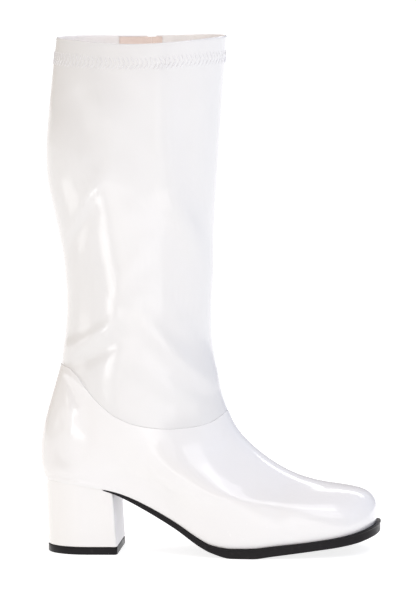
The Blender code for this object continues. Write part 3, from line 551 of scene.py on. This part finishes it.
rubber = Finish("satin_rubber", (0.005, 0.004, 0.005), 0.34, Coat_Weight=0.05, Coat_Roughness=0.25,
                Specular_IOR_Level=0.18)
scuffed = rubber.between(rubber.noise(240.0, 6.0), 0.58, 0.78)
rubber.colour(scuffed, (0.005, 0.004, 0.005), (0.016, 0.014, 0.015))
rubber.roughness(rubber.between(rubber.noise(150.0, 4.0), 0.3, 0.7, 0.28, 0.46))
rubber.bump(rubber.noise(1900.0, 3.0), 0.00004)

thread = Finish("white_thread", (0.80, 0.79, 0.80), 0.42, Sheen_Weight=0.2)
thread.colour(thread.noise(900.0), (0.70, 0.69, 0.70), (0.86, 0.85, 0.86))
thread.bump(thread.node("TexWave", {"Vector": thread.place, "Scale": 700.0}, output=1), 0.00004)

coil = Finish("coil_wire", (0.92, 0.91, 0.90), 0.35, Coat_Weight=0.2, Coat_Roughness=0.2)
coil.colour(coil.noise(400.0, 3.0), (0.88, 0.87, 0.86), (0.95, 0.94, 0.93))
coil.bump(coil.noise(3000.0), 0.00002)

nickel = Finish("cast_nickel", (0.66, 0.65, 0.66), 0.22, Metallic=1.0)
nickel.roughness(nickel.between(nickel.noise(900.0, 5.0), 0.3, 0.7, 0.16, 0.34))
nickel.colour(nickel.noise(300.0, 3.0), (0.58, 0.57, 0.58), (0.72, 0.71, 0.71))
nickel.bump(nickel.noise(1500.0, 4.0), 0.000012)
print("materials", len(bpy.data.materials))

# %% [markdown]
# The foot and the leg are two walls of patent. Each could be one closed skin given thickness by a
# Solidify modifier, but the slot, the folded hem and the turned edges are easier to place when the
# outer and inner faces are both worked out. The foot laps over the leg at the seam, so the leg sits
# a little deeper there. Folds move both faces together.

# %% The leather's surface, with its folds
SEAM_STEP, SEAM_STEP_LEVELS = 0.4, 3
FOOT_WALL, SHAFT_WALL, HEM_WALL, HEM_HEIGHT = 1.6, 1.4, 2.4, 22.0
SLOT_LEVEL, SLOT_EDGE_RADIUS = 5.5, 0.55
SEAT_END_X, SEAT_FADE_MM, SEAT_LEVELS, SEAT_FULLNESS = 52.0, 8.0, 1.6, 1.1
STILL_LEVELS = 2
TOP_MM_PER_LEVEL = RINGS[-1].back_z - RINGS[-2].back_z
HEM_LEVEL = TOP_LEVEL - HEM_HEIGHT / TOP_MM_PER_LEVEL


def seam_sink(v):
    """How far the leg lies below the foot's surface, from the seam up to where they agree."""
    v = np.asarray(v, float)
    left = np.clip(1 - (v - SEAM_LEVEL) / SEAM_STEP_LEVELS, 0, 1)
    return np.where(v < SEAM_LEVEL, 0.0, SEAM_STEP * left ** 2)


def folded(points, normals, v, depth):
    """Points moved by the folds, by the fullness over the heel's seat and by a depth below the surface."""
    v = np.asarray(v)
    at_seat = soft_step((SEAT_END_X - points[..., 0]) / SEAT_FADE_MM) * soft_step(1 - v / SEAT_LEVELS)
    rise = fold_rise(points) * soft_step(v / STILL_LEVELS) + SEAT_FULLNESS * at_seat
    return points + normals * (rise - seam_sink(v) - depth)[..., None]


def leather(q, v, depth=0.0):
    """Point of the folded leather at round place q and level v, and its outward direction."""
    q, v, depth = np.broadcast_arrays(q, v, depth)
    normals = boot_normal(q, v)
    return folded(boot_point(q, v), normals, v, depth), normals


def inner_side(x, v, depth=0.0):
    """Point of the folded leather's inner side at x and level v, and its outward direction."""
    x, v, depth = np.broadcast_arrays(np.asarray(x, float), np.asarray(v, float), depth)

    def plain(x, v):
        back = at_level(v, "back_x")
        return surface_at((x - back) / (at_level(v, "front_x") - back), False, v)

    x_step, v_step = 0.2, 0.01
    along = plain(x + x_step, v) - plain(x - x_step, v)
    up = plain(x, np.minimum(v + v_step, TOP_LEVEL)) - plain(x, v - v_step)
    normals = unit(np.cross(up, along))
    return folded(plain(x, v), normals, v, depth), normals


def round_places(count_per_side):
    """Round places of the grid's columns, closer together beside the zip's slot."""
    mm_per_side = 190.0
    edge_steps = np.array([0.05, 0.15, 0.35, 0.7, 1.3]) / mm_per_side
    rear, front = SLOT_Q
    places = [np.linspace(0.0, front, int(1.45 * count_per_side)), [rear],
              np.linspace(rear, 2.0, int(0.5 * count_per_side), endpoint=False),
              front - edge_steps, rear + edge_steps]
    return np.unique(np.round(np.concatenate(places), 7))


def patent_wall(name, levels, columns, thickness, edge_turn, finishes, node, slot_name):
    """One wall of patent with its slot, turned edges, outer patent and inner lining."""
    q, v = np.meshgrid(round_places(columns), levels)
    plain = boot_point(q, v)
    off_slot = np.abs(plain[..., 0] - ZIP_X) - SLOT_WIDTH / 2
    beside_slot = (plain[..., 1] > 0) & (v > SLOT_LEVEL)
    slot_turn = turned_edge(off_slot.clip(0), SLOT_EDGE_RADIUS) * beside_slot
    turn = np.maximum(edge_turn[:, None], slot_turn)
    outer, _ = leather(q, v, turn)
    inner, _ = leather(q, v, thickness[:, None] - turn)
    middle_q = (q[0] + np.append(q[0][1:], 2.0)) / 2
    middle_v = (levels[1:] + levels[:-1]) / 2
    in_slot = (middle_q < SLOT_Q[0]) & (middle_q > SLOT_Q[1])
    keep = ~(in_slot[None, :] & (middle_v[:, None] > SLOT_LEVEL))
    vertices, faces, uvs = wall(outer, inner, keep, wraps=True)
    result = dressed(name, vertices, faces, finishes[0], node, slot_name, 60, uvs)
    result.data.materials.append(finishes[1].material)
    for face, corners in zip(result.data.polygons, faces):
        face.material_index = int(min(corners) >= q.size)
    return result


# %% The foot
SEAM_GAP, SEAM_MM_PER_LEVEL, SEAM_EDGE_RADIUS = 0.002, 12.0, 0.2
foot_levels = np.unique(np.concatenate([
    np.round(np.linspace(0.0, SLOT_LEVEL, 32), 6),
    spread_to_edge(SLOT_LEVEL, SEAM_LEVEL - SEAM_GAP, 44, 0.045)]))
foot_turn = turned_edge((SEAM_LEVEL - SEAM_GAP - foot_levels) * SEAM_MM_PER_LEVEL, SEAM_EDGE_RADIUS)
foot = patent_wall("foot_of_patent", foot_levels, 120, np.full(len(foot_levels), FOOT_WALL), foot_turn,
                   (upper_patent, foot_lining), "upper", "white_patent")
print("foot", len(foot.data.polygons), "faces")

# %% The leg
leg_levels = spread_to_edge(SEAM_LEVEL + SEAM_GAP, TOP_LEVEL, 132, HEM_WALL / 2 / TOP_MM_PER_LEVEL)
leg_turn = turned_edge((TOP_LEVEL - leg_levels) * TOP_MM_PER_LEVEL, HEM_WALL / 2 - 0.02)
leg_thickness = SHAFT_WALL + (HEM_WALL - SHAFT_WALL) * soft_step((leg_levels - HEM_LEVEL) / 0.04 + 1)
leg = patent_wall("leg_of_stretch_patent", leg_levels, 105, leg_thickness, leg_turn,
                  (shaft_patent, shaft_lining), "shaft", "white_stretch_patent")
print("leg", len(leg.data.polygons), "faces")

# %% [markdown]
# Sole, sock, heel and lift are all cut to an outline and stand in layers, so each is a stack of
# rings. The outline of the sole and sock is the last's own lower edge, moved out or in. Both ends of
# a stack are closed by a grid from one side to the other, and the grid of the underside can be
# pressed into a tread. Rounded corners are a few rings along a quarter circle.

# %% Outlines and stacks of rings
def last_outline(xs, spread):
    """Closed outline of the last's lower edge, moved outward: outer side to the toe, inner side back."""
    first = RINGS[0]
    u = (np.asarray(xs) - first.back_x) / (first.front_x - first.back_x)
    sides = []
    for outer_side, sign in ((True, -1.0), (False, 1.0)):
        here, ahead, behind = (surface_at(np.clip(u + step, 0, 1), outer_side, np.zeros(1))[:, :2]
                               for step in (0.0, 1e-4, -1e-4))
        way = unit(ahead - behind)
        outward = np.stack([-sign * way[:, 1], sign * way[:, 0]], axis=1)
        outward[u >= 1.0], outward[u <= 0.0] = (1.0, 0.0), (-1.0, 0.0)
        sides.append(here + outward * np.broadcast_to(spread, len(u))[:, None])
    return np.concatenate([sides[0], sides[1][::-1]])


def stack(rings, cap_columns, bottom_relief=None):
    """Vertices and faces of a solid of rings, closed at both ends by a grid from side to side."""
    rings = [np.asarray(ring, float) for ring in rings]
    count, half = len(rings[0]), len(rings[0]) // 2
    points, faces = list(np.concatenate(rings)), []
    for level in range(len(rings) - 1):
        low = level * count
        for i in range(count):
            j = (i + 1) % count
            faces.append((low + i, low + j, low + count + j, low + count + i))
    for level, flip in ((0, True), (len(rings) - 1, False)):
        ring, low = rings[level], level * count
        columns = []
        for i in range(half):
            across = np.linspace(ring[i], ring[count - 1 - i], cap_columns)[1:-1]
            if level == 0 and bottom_relief is not None:
                across[:, 2] += bottom_relief(across[:, 0], across[:, 1])
            columns.append([low + i, *range(len(points), len(points) + len(across)), low + count - 1 - i])
            points += list(across)
        for first, second in zip(columns, columns[1:]):
            for a, b, c, d in zip(first, second, second[1:], first[1:]):
                faces.append((d, c, b, a) if flip else (a, b, c, d))
    return np.array(points), faces


def on_height(outline, height):
    """Ring over an outline, at a height worked out from each point's x."""
    return np.column_stack([outline, height(outline[:, 0])])


print("outline of the last", last_outline(np.linspace(60, 200, 3), 0.0).round(1).tolist()[:3])

# %% [markdown]
# The sole is a thin moulded unit: a lip that the upper sits on, an edge set in a little below it,
# and a bevel round the tread. It starts under the heel's seat, bridges the arch and rests on the
# ball of the foot. Its tread is fine cross ribs inside a plain border, pressed in as real relief.

# %% The sole
TONGUE_END_X, RIBS_START_X, RIBS_END_X, TOE_START_X, TIP_X = 50.0, 118.0, 243.0, 236.0, RINGS[0].front_x
RIB_PITCH, RIB_DEPTH, RIB_BORDER = 3.2, 0.35, 7.0
EDGE_INSET, BEVEL, LIP_HEIGHT = 0.4, 0.9, 1.55


def sole_share(x):
    """How much of the full lip and bevel the edge has room for: less where the sole thins out."""
    return np.clip((along_sole(x, "top") - along_sole(x, "bottom")) / 6.0, 0.12, 1.0)


def sole_ring(spread, height_share, lift):
    """One ring of the sole: spread past its edge, and lift above a share of its thickness."""
    outline = last_outline(sole_xs, along_sole(sole_xs, "proud") + spread * sole_share(sole_xs))

    def height(x):
        low, high = along_sole(x, "bottom"), along_sole(x, "top") - 0.3
        return low + height_share * (high - low) + lift * sole_share(x)

    return on_height(outline, height)


def tread(x, y):
    """Relief of the underside: cross ribs inside a border, on the forepart only."""
    border = np.minimum(soft_step((x - RIBS_START_X) / 6.0), soft_step((RIBS_END_X - x) / 5.0))
    half_width = np.interp(x, (110, 175, 235, 250), (30.0, 42.0, 33.0, 16.0)) - RIB_BORDER
    inside = soft_step((half_width - np.abs(y + 1.5)) / 1.2)
    ribs = soft_step(1.4 * np.sin(2 * pi * x / RIB_PITCH) + 0.5)
    return RIB_DEPTH * border * inside * ribs


sole_xs = np.unique(np.concatenate([
    np.arange(TONGUE_END_X, RIBS_START_X, 1.8), np.arange(RIBS_START_X, TOE_START_X, 0.8),
    TOE_START_X + (TIP_X - TOE_START_X) * np.sin(np.linspace(0, pi / 2, 26))]))
sole_rings = []
for angle in np.linspace(0, pi / 2, 5):
    sole_rings.append(sole_ring(-EDGE_INSET - BEVEL * (1 - sin(angle)), 0.0, BEVEL * (1 - cos(angle))))
for share in (0.3, 0.6, 0.9):
    sole_rings.append(sole_ring(-EDGE_INSET, share, BEVEL * (1 - share) - LIP_HEIGHT * share))
for inset, lift in ((-EDGE_INSET, -1.5), (-0.25, -1.4), (-0.08, -1.32), (0.0, -1.15), (0.0, -0.25),
                    (-0.07, -0.08), (-0.25, 0.0)):
    sole_rings.append(sole_ring(inset, 1.0, lift))
sole = dressed("sole_unit", *stack(sole_rings, 34, tread), rubber, "outsole", "black_rubber", 50)
print("sole", len(sole.data.polygons), "faces")

# %% [markdown]
# The sock is a thin board covered in soft beige lining, glued to the floor of the boot. It follows
# the sole's line, and its cut edge is barely rounded.

# %% The sock inside the foot
SOCK_INSET = 2.5
sock_xs = RINGS[0].back_x + (1 - np.cos(np.linspace(0, pi, 121))) / 2 * (TIP_X - RINGS[0].back_x)


def sock_ring(inset, lift):
    """One ring of the sock: inset from its edge, and lift above the sole."""
    return on_height(last_outline(sock_xs, -SOCK_INSET - inset), lambda x: along_sole(x, "top") + lift)


sock_rings = [sock_ring(inset, lift)
              for inset, lift in ((0.0, 0.0), (0.0, 1.5), (0.12, 1.9), (0.4, 2.15), (0.8, 2.2))]
sock = dressed("sock_lining", *stack(sock_rings, 16), sock_cloth, "insole", "beige_sock")
print("sock", len(sock.data.polygons), "faces")

# %% [markdown]
# The block heel is a moulded core covered with the boot's own patent, drawn round it and tucked
# under the seat. The cover is pulled tight on the curve and puckers slightly at the top of the
# breast, where it is folded in. Its lift is a slab of black rubber with a softened edge.

# %% The heel and its lift
HEEL_HALF_WIDTHS, HEEL_BACKS, BREASTS = (27.4, 28.4), (4.3, 3.0), (59.0, 57.0)
HEEL_ROUND, HEEL_CORNER, HEEL_START_Z = 32.0, 2.4, 5.8
PUCKER_DEPTH, PUCKER_X, PUCKER_REACH_X, PUCKER_REACH_SHARE = 0.35, 55.0, 7.0, 9.0 / 48.0


def heel_outline(share, spread):
    """D-shaped outline of the heel at a share of its height, from breast round the back and home."""
    back, breast, half = (low + share * (high - low)
                          for low, high in (HEEL_BACKS, BREASTS, HEEL_HALF_WIDTHS))
    half = half + spread
    turn = np.linspace(0, pi / 2, 34)
    curve = np.column_stack([back + HEEL_ROUND - (HEEL_ROUND + spread) * np.cos(turn),
                             half * np.sin(turn) ** 0.87])
    straight_x = np.linspace(back + HEEL_ROUND, breast + spread - HEEL_CORNER, 14)[1:]
    straight = np.column_stack([straight_x, np.full(13, half)])
    corner_turn = np.linspace(0, pi / 2, 8)[1:]
    corner = np.column_stack([breast + spread - HEEL_CORNER * (1 - np.sin(corner_turn)),
                              half - HEEL_CORNER * (1 - np.cos(corner_turn))])
    side = np.concatenate([curve, straight, corner])
    return np.concatenate([side * (1, -1), side[::-1]])


def heel_top(x):
    """Height of the heel's seat: under the upper, and lower where the sole's tongue lies on it."""
    under_upper, under_tongue = along_sole(x, "top") - 0.02, along_sole(x, "bottom") - 0.1
    return under_upper + (under_tongue - under_upper) * soft_step((x - 48.0) / 1.4)


def pucker(ring, share):
    """Small folds of the covering below the breast's top corners, in millimetres."""
    along, up = (ring[:, 0] - PUCKER_X) / PUCKER_REACH_X, (1 - share) / PUCKER_REACH_SHARE
    return PUCKER_DEPTH * np.exp(-along ** 2 - up ** 2) * np.sin(ring[:, 0] * 1.35 + share * 9.0)


heel_rings = []
for share, inset in [(0.0, 0.9), (0.003, 0.5), (0.01, 0.18), (0.02, 0.04),
                     *((even, 0.0) for even in np.linspace(0.035, 0.97, 44)),
                     (0.99, 0.01), (0.997, 0.03), (1.0, 0.06)]:
    outline = heel_outline(share, -inset)
    outline[:, 1] += np.sign(outline[:, 1]) * pucker(outline, share)
    height = HEEL_START_Z + share * (heel_top(outline[:, 0]) - HEEL_START_Z)
    heel_rings.append(np.column_stack([outline, height]))
heel = dressed("covered_heel", *stack(heel_rings, 20), heel_patent, "heel_block", "white_heel_cover", 60)
# Faces that look towards the toe, the breast, take the copy with the painted shade.
heel.data.materials.append(breast_patent_painted_shade.material)
for face in heel.data.polygons:
    face.material_index = int(face.normal.x > 0.9)

lift_rings = [on_height(heel_outline(0.0, -inset), lambda x: np.full(len(x), height))
              for inset, height in ((0.75, 0.0), (0.4, 0.06), (0.12, 0.25), (0.0, 0.6), (0.0, 5.0),
                                    (0.06, 5.3), (0.3, 5.5))]
lift = dressed("heel_lift", *stack(lift_rings, 20), rubber, "top_piece", "black_rubber", 50)
print("heel", len(heel.data.polygons), "lift", len(lift.data.polygons), "faces")

# %% [markdown]
# The zip on the inner side is what lets a foot in. Its tapes are woven strips sewn behind the slot,
# and the rear one is wide, as a guard between the teeth and the leg. Its coil is one plastic wire on
# each tape, wound so that its loops hook into the other's. The loops are small tubes along the slot,
# joined into one mesh.

# %% The tapes
TAPE_THICKNESS, TAPE_LEVEL, TAPE_ROWS = 0.7, 4.9, 150
HALF_GAP, GUARD_X, FRONT_TAPE_X = 0.03, ZIP_X - 24.9, ZIP_X + 8.3


def tape_depth(levels):
    """Depth of the tapes' outer face below the boot's surface, clear of the wall."""
    places = [SEAM_LEVEL - 1, SEAM_LEVEL - 0.4, SEAM_LEVEL + 1, SEAM_LEVEL + 4,
              HEM_LEVEL - 0.25, HEM_LEVEL - 0.1]
    depths = [1.96, 2.16, 2.16, 1.76, 1.76, 2.76]
    return np.interp(levels, places, depths) - seam_sink(levels)


def tape(name, start_x, end_x, columns, node):
    """One woven tape, a thin wall with rounded edges."""
    levels = np.linspace(TAPE_LEVEL, TOP_LEVEL - 0.03, TAPE_ROWS)[:, None]
    xs = np.linspace(start_x, end_x, columns)[None, :]
    depth = np.broadcast_to(tape_depth(levels), (TAPE_ROWS, columns))
    rim = turned_edge(np.minimum(xs - start_x, end_x - xs) + 0 * levels, TAPE_THICKNESS / 2)
    outer, _ = inner_side(xs, levels, depth + rim)
    inner, _ = inner_side(xs, levels, depth + TAPE_THICKNESS - rim)
    vertices, faces, uvs = wall(outer, inner, np.ones((TAPE_ROWS - 1, columns - 1), bool), wraps=False)
    return dressed(name, vertices, faces, tape_weave, node, "beige_tape", 60, uvs)


rear_tape = tape("rear_zip_tape", GUARD_X, ZIP_X - HALF_GAP, 26, "zip_tape_rear")
front_tape = tape("front_zip_tape", ZIP_X + HALF_GAP, FRONT_TAPE_X, 12, "zip_tape_front")
print("tapes", len(rear_tape.data.polygons), len(front_tape.data.polygons), "faces")


# %% Tubes for thread and coil
def tubes(name, paths, outward, radius, finish):
    """One mesh of many closed tubes, each along a path of points with outward directions."""
    sides = 6
    paths, outward = np.asarray(paths, float), np.asarray(outward, float)
    along = unit(np.gradient(paths, axis=1))
    side = unit(np.cross(along, outward))
    up = np.cross(side, along)
    turn = np.arange(sides)[:, None] * 2 * pi / sides
    around = np.cos(turn) * side[:, :, None] + np.sin(turn) * up[:, :, None]
    rings = paths[:, :, None] + radius * around
    many, steps = paths.shape[:2]
    faces = []
    for first in range(0, many * steps * sides, steps * sides):
        for ring in range(steps - 1):
            low = first + ring * sides
            faces += [(low + i, low + (i + 1) % sides, low + sides + (i + 1) % sides, low + sides + i)
                      for i in range(sides)]
        faces.append(tuple(range(first, first + sides)))
        faces.append(tuple(range(first + (steps - 1) * sides, first + steps * sides)))
    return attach(new_object(name, rings.reshape(-1, 3), faces, finish, 70), "boot")


# %% The coil, closed up to the slider
SLIDER_LEVEL = TOP_LEVEL - 14.0 / TOP_MM_PER_LEVEL
COIL_PITCH, COIL_TOP_GAP, WIRE_RADIUS = 1.5, 5.2, 0.32
LOOP_MIDDLE, LOOP_REACH, LOOP_DEPTH, LOOP_HEIGHT = 1.15, 1.35, 0.55, 0.62
chain_levels = np.linspace(SLOT_LEVEL + 0.12, SLIDER_LEVEL - COIL_TOP_GAP / TOP_MM_PER_LEVEL, 400)
chain_line, _ = inner_side(np.full(400, ZIP_X), chain_levels)
chain_run = run_along(chain_line)
loops = int(chain_run[-1] / COIL_PITCH)
side = np.repeat([-1.0, 1.0], loops)[:, None]
loop_turn = np.linspace(-pi, pi * 0.95, 11)[None, :]
loop_run = (np.tile(np.arange(loops), 2)[:, None] + 0.25 + 0.25 * side) * COIL_PITCH + 0.4
loop_run = loop_run + 0.2 * COIL_PITCH * loop_turn / pi
loop_paths, _ = inner_side(ZIP_X + side * (LOOP_MIDDLE - LOOP_REACH * np.cos(loop_turn)),
                           np.interp(loop_run, chain_run, chain_levels),
                           LOOP_DEPTH + LOOP_HEIGHT * np.sin(loop_turn) + 0 * loop_run)
loop_outward = np.cross(unit(np.gradient(loop_paths, axis=1)), (0.0, 0.0, 1.0))
teeth = tubes("zip_coil", loop_paths, loop_outward, WIRE_RADIUS, coil)
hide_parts("zip_chain")
print("coil", 2 * loops, "loops", len(teeth.data.polygons), "faces")

# %% [markdown]
# The slider is a small cast plate with a bridge, and its pull is a flat tab with a window that
# swings on the bridge. Cast parts have no sharp edges, so both keep the shape of their solids and
# get their edges rounded by a Bevel modifier, which is then applied.

# %% The slider and its pull
def rounded_copy(name, node, radius, body):
    """The solid again, with its edges rounded."""
    mesh = bpy.data.meshes.new(name)
    bm = bmesh.new()
    bm.from_mesh(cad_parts[node].data)
    bmesh.ops.remove_doubles(bm, verts=bm.verts, dist=1e-6)
    bmesh.ops.dissolve_limit(bm, angle_limit=radians(1), verts=bm.verts, edges=bm.edges)
    bm.to_mesh(mesh)
    bm.free()
    plain = bpy.data.objects.new(name + "_plain", mesh)
    scene.collection.objects.link(plain)
    bevel = plain.modifiers.new("soft_edges", "BEVEL")
    bevel.width, bevel.segments, bevel.limit_method = radius * MM, 3, "ANGLE"
    bevel.angle_limit = radians(25)
    evaluated = plain.evaluated_get(bpy.context.evaluated_depsgraph_get())
    finished = bpy.data.meshes.new_from_object(evaluated)
    bpy.data.objects.remove(plain)
    finished.name = name
    finished.materials.clear()
    finished.materials.append(nickel.material)
    finished.shade_smooth()
    finished.set_sharp_from_angle(angle=radians(50))
    result = bpy.data.objects.new(name, finished)
    scene.collection.objects.link(result)
    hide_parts(node)
    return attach(result, body)


slider = rounded_copy("slider_casting", "zip_slider", 0.22, "boot")
pull = rounded_copy("pull_tab", "zip_pull", 0.25, "pull")
print("slider", len(slider.data.polygons), "pull", len(pull.data.polygons), "faces")

# %% [markdown]
# Stitches are thread that dives into the leather and comes up again. A bump could fake them, but at
# the collar they are large enough to catch the light, so each is a short tube that arches over the
# surface. The collar's hem is held by a zigzag of two rows that meet in arrow points, and a straight
# row runs down each side of the zip.

# %% The zigzag round the collar
STITCH_PITCH, THREAD_RADIUS, STITCH_ARCH = 3.4, 0.27, 0.25
ZIGZAG_ROWS = ((10.2, 15.0, 1.0), (15.2, 20.0, -1.0))
collar_q = np.linspace(0.0, 2.0, 1601)
collar_line, _ = leather(collar_q, np.full(1601, TOP_LEVEL - 15 / TOP_MM_PER_LEVEL))
collar_run = run_along(collar_line)
zigzag_count = int(collar_run[-1] / STITCH_PITCH)
along_stitch = np.linspace(0, 1, 6)
stitch_depth = 0.12 - STITCH_ARCH * np.sin(pi * along_stitch) ** 0.6
middles = (np.arange(zigzag_count)[:, None] + 0.5) * collar_run[-1] / zigzag_count
zigzag_paths, zigzag_outward = [], []
for below_top, below_end, way in ZIGZAG_ROWS:
    run = middles + way * (along_stitch - 0.5) * STITCH_PITCH * 0.8
    q = np.interp(run, collar_run, collar_q)
    q = q[(q.min(1) < SLOT_Q[1] - 0.035) | (q.max(1) > SLOT_Q[0] + 0.035)]
    below = below_top + (below_end - below_top) * along_stitch
    points, normals = leather(q, TOP_LEVEL - below / TOP_MM_PER_LEVEL, stitch_depth)
    zigzag_paths += list(points)
    zigzag_outward += list(normals)
zigzag = tubes("collar_zigzag", zigzag_paths, zigzag_outward, THREAD_RADIUS, thread)
print("zigzag", len(zigzag_paths), "stitches round", round(float(collar_run[-1])), "mm")

# %% The straight rows beside the zip
ROW_PITCH, ROW_OFFSET, ROW_THREAD_RADIUS, STITCH_SHARE = 3.0, 2.4, 0.24, 0.82
row_paths, row_outward = [], []
zip_levels = np.linspace(SLOT_LEVEL - 0.12, TOP_LEVEL - 0.08, 500)
for side in (-1, 1):
    x = ZIP_X + side * (SLOT_WIDTH / 2 + ROW_OFFSET)
    line, _ = inner_side(np.full(500, x), zip_levels)
    run = run_along(line)
    place = (np.arange(int(run[-1] / ROW_PITCH))[:, None] + STITCH_SHARE * along_stitch) * ROW_PITCH + 0.5
    points, normals = inner_side(x, np.interp(place, run, zip_levels), stitch_depth)
    row_paths += list(points)
    row_outward += list(normals)
end_xs = ZIP_X + (np.arange(-4, 5) * 1.2)[:, None] + 0.0 * along_stitch
end_levels = SLOT_LEVEL - 0.16 - 0.16 * along_stitch + 0 * end_xs
bar_points, bar_outward = inner_side(end_xs, end_levels, stitch_depth + 0 * end_xs)
row_paths += list(bar_points)
row_outward += list(bar_outward)
rows = tubes("zip_topstitch", row_paths, row_outward, ROW_THREAD_RADIUS, thread)
print("zip stitches", len(row_paths))

# %% [markdown]
# The boot stands on a plain pale floor that glows a little, so that it stays white round the boot.
# White patent on white is drawn by what it mirrors, so the light is what gives it shape. The room is
# pale, brighter above and behind than in front, and warmer to the left than to the right. The large
# soft boxes lay the broad tones: a strip beside the camera down the leg, a warm one at the left, a
# cool one at the right, a low one that the foot's side mirrors and high ones for the instep and toe.
# Two small windows make the highlights of the counter, and a faint light inside the leg stands for
# the light that comes through its thin walls. Standard colour is used, because a white boot on a
# white floor has to stay white, and the softer default would turn it grey.

# %% The floor and the room
FLOOR_SIZE, FLOOR_GLOW = 40.0, 0.82
paving = bmesh.new()
bmesh.ops.create_grid(paving, x_segments=8, y_segments=8, size=FLOOR_SIZE / 2)
floor_mesh = bpy.data.meshes.new("studio_floor")
paving.to_mesh(floor_mesh)
paving.free()
studio_floor = Finish("studio_floor", (0.5, 0.5, 0.5), 0.6, Emission_Color=(1.0, 1.0, 1.0, 1.0),
                      Emission_Strength=FLOOR_GLOW)
studio_floor.colour(studio_floor.noise(3.0), (0.495, 0.495, 0.495), (0.505, 0.505, 0.505))
floor_mesh.materials.append(studio_floor.material)
floor = bpy.data.objects.new("studio_floor", floor_mesh)
scene.collection.objects.link(floor)

ROOM_LEFT, ROOM_RIGHT = (1.0, 0.90, 0.80, 1.0), (0.86, 0.90, 1.06, 1.0)
ROOM_FRONT, ROOM_BACK, ROOM_TOP = 0.50, 0.60, 0.38
room = bpy.data.worlds.new("pale_room")
room.use_nodes = True
tree = room.node_tree
direction = add_node(tree, "TexCoord", {})
x_way, y_way, z_way = (add_node(tree, "SeparateXYZ", {0: direction}, output=axis) for axis in range(3))
sideways = add_node(tree, "MapRange", {"Value": x_way, "From Min": -0.7, "From Max": 0.7})
tint = add_node(tree, "Mix", {0: sideways, 6: ROOM_LEFT, 7: ROOM_RIGHT}, output=2, data_type="RGBA")
depthways = add_node(tree, "MapRange", {"Value": y_way, "From Min": -0.9, "From Max": 0.6,
                                        "To Min": ROOM_FRONT, "To Max": ROOM_BACK})
upwards = add_node(tree, "MapRange", {"Value": z_way, "From Min": 0.15, "From Max": 0.75,
                                      "To Max": ROOM_TOP})
strength = add_node(tree, "Math", {0: depthways, 1: upwards}, operation="ADD")
tree.links.new(tint, tree.nodes["Background"].inputs["Color"])
tree.links.new(strength, tree.nodes["Background"].inputs["Strength"])
scene.world = room
print("room", room.name, "floor", FLOOR_SIZE, "m")

# %% The soft boxes
WHITE, WARM, COOL = (1.0, 1.0, 1.0), (1.0, 0.83, 0.66), (0.40, 0.60, 1.0)


def soft_box(name, place, aim, size, power, colour):
    """A rectangular soft light at a place, turned towards another."""
    lamp = bpy.data.lights.new(name, "AREA")
    lamp.shape, lamp.size, lamp.size_y = "RECTANGLE", *size
    lamp.energy, lamp.color = power, colour
    box = bpy.data.objects.new(name, lamp)
    box.location = place
    box.rotation_euler = (Vector(aim) - Vector(place)).to_track_quat("-Z", "Y").to_euler()
    scene.collection.objects.link(box)


soft_box("strip_by_camera", (0.25, -1.5, 0.31), (0.03, 0.0, 0.31), (0.36, 0.46), 0.25, WHITE)
soft_box("wide_front_left", (-0.50, -1.6, 0.75), (0.0, 0.0, 0.3), (1.2, 1.3), 1.2, WARM)
soft_box("low_by_foot", (0.0, -0.9, 0.06), (0.02, 0.0, 0.05), (0.9, 0.11), 0.32, (1.0, 0.98, 0.97))
soft_box("high_over_foot", (0.45, -0.8, 1.8), (0.06, 0.0, 0.05), (1.3, 1.0), 5.6, (1.0, 0.985, 1.0))
soft_box("cool_right", (1.9, -0.9, 0.9), (0.0, 0.0, 0.2), (0.8, 1.4), 0.75, COOL)
soft_box("side_of_foot", (0.60, -0.78, 0.85), (0.02, -0.03, 0.07), (0.5, 0.75), 1.35, (0.98, 0.975, 1.0))
soft_box("over_the_instep", (0.50, 0.95, 1.05), (0.06, 0.0, 0.08), (0.8, 0.2), 1.35, WHITE)
soft_box("window_by_counter", (-0.37, -0.45, 0.105), (-0.095, -0.028, 0.085), (0.09, 0.07), 0.055, WHITE)
soft_box("window_at_left", (-0.62, -0.15, 0.155), (-0.12, 0.0, 0.10), (0.20, 0.07), 0.05, WHITE)
soft_box("light_through_the_walls", (-0.045, -0.026, 0.33), (-0.045, 0.045, 0.378), (0.05, 0.02), 0.023,
         WHITE)
scene.view_settings.view_transform = "Standard"
print("soft boxes", sorted(light.name for light in bpy.data.lights))

# %% [markdown]
# The photo was taken from the outer side, a little in front of square and a little above, from far
# away with a long lens. The height of each edge in the photo gave the direction, and the width of
# the sole gave the scale. The camera stands there again.

# %% The camera
YAW, ELEVATION, ROLL = radians(5.5), radians(6.6), radians(-0.8)
TARGET, DISTANCE, LENS, SENSOR_WIDTH = Vector((0.00005, 0.0, 0.19025)), 3.4, 276.6, 36.0
forward = Vector((-sin(YAW) * cos(ELEVATION), cos(YAW) * cos(ELEVATION), -sin(ELEVATION)))
level_right = Vector((cos(YAW), sin(YAW), 0.0))
level_up = level_right.cross(forward)
right = level_right * cos(ROLL) + level_up * sin(ROLL)
up = level_up * cos(ROLL) - level_right * sin(ROLL)
lens = bpy.data.cameras.new("camera")
lens.lens, lens.sensor_width = LENS, SENSOR_WIDTH
camera = bpy.data.objects.new("camera", lens)
camera.matrix_world = Matrix((right, up, -forward)).transposed().to_4x4()
camera.location = TARGET - forward * DISTANCE
scene.collection.objects.link(camera)
scene.camera = camera
print("camera at", [round(v, 3) for v in camera.location])
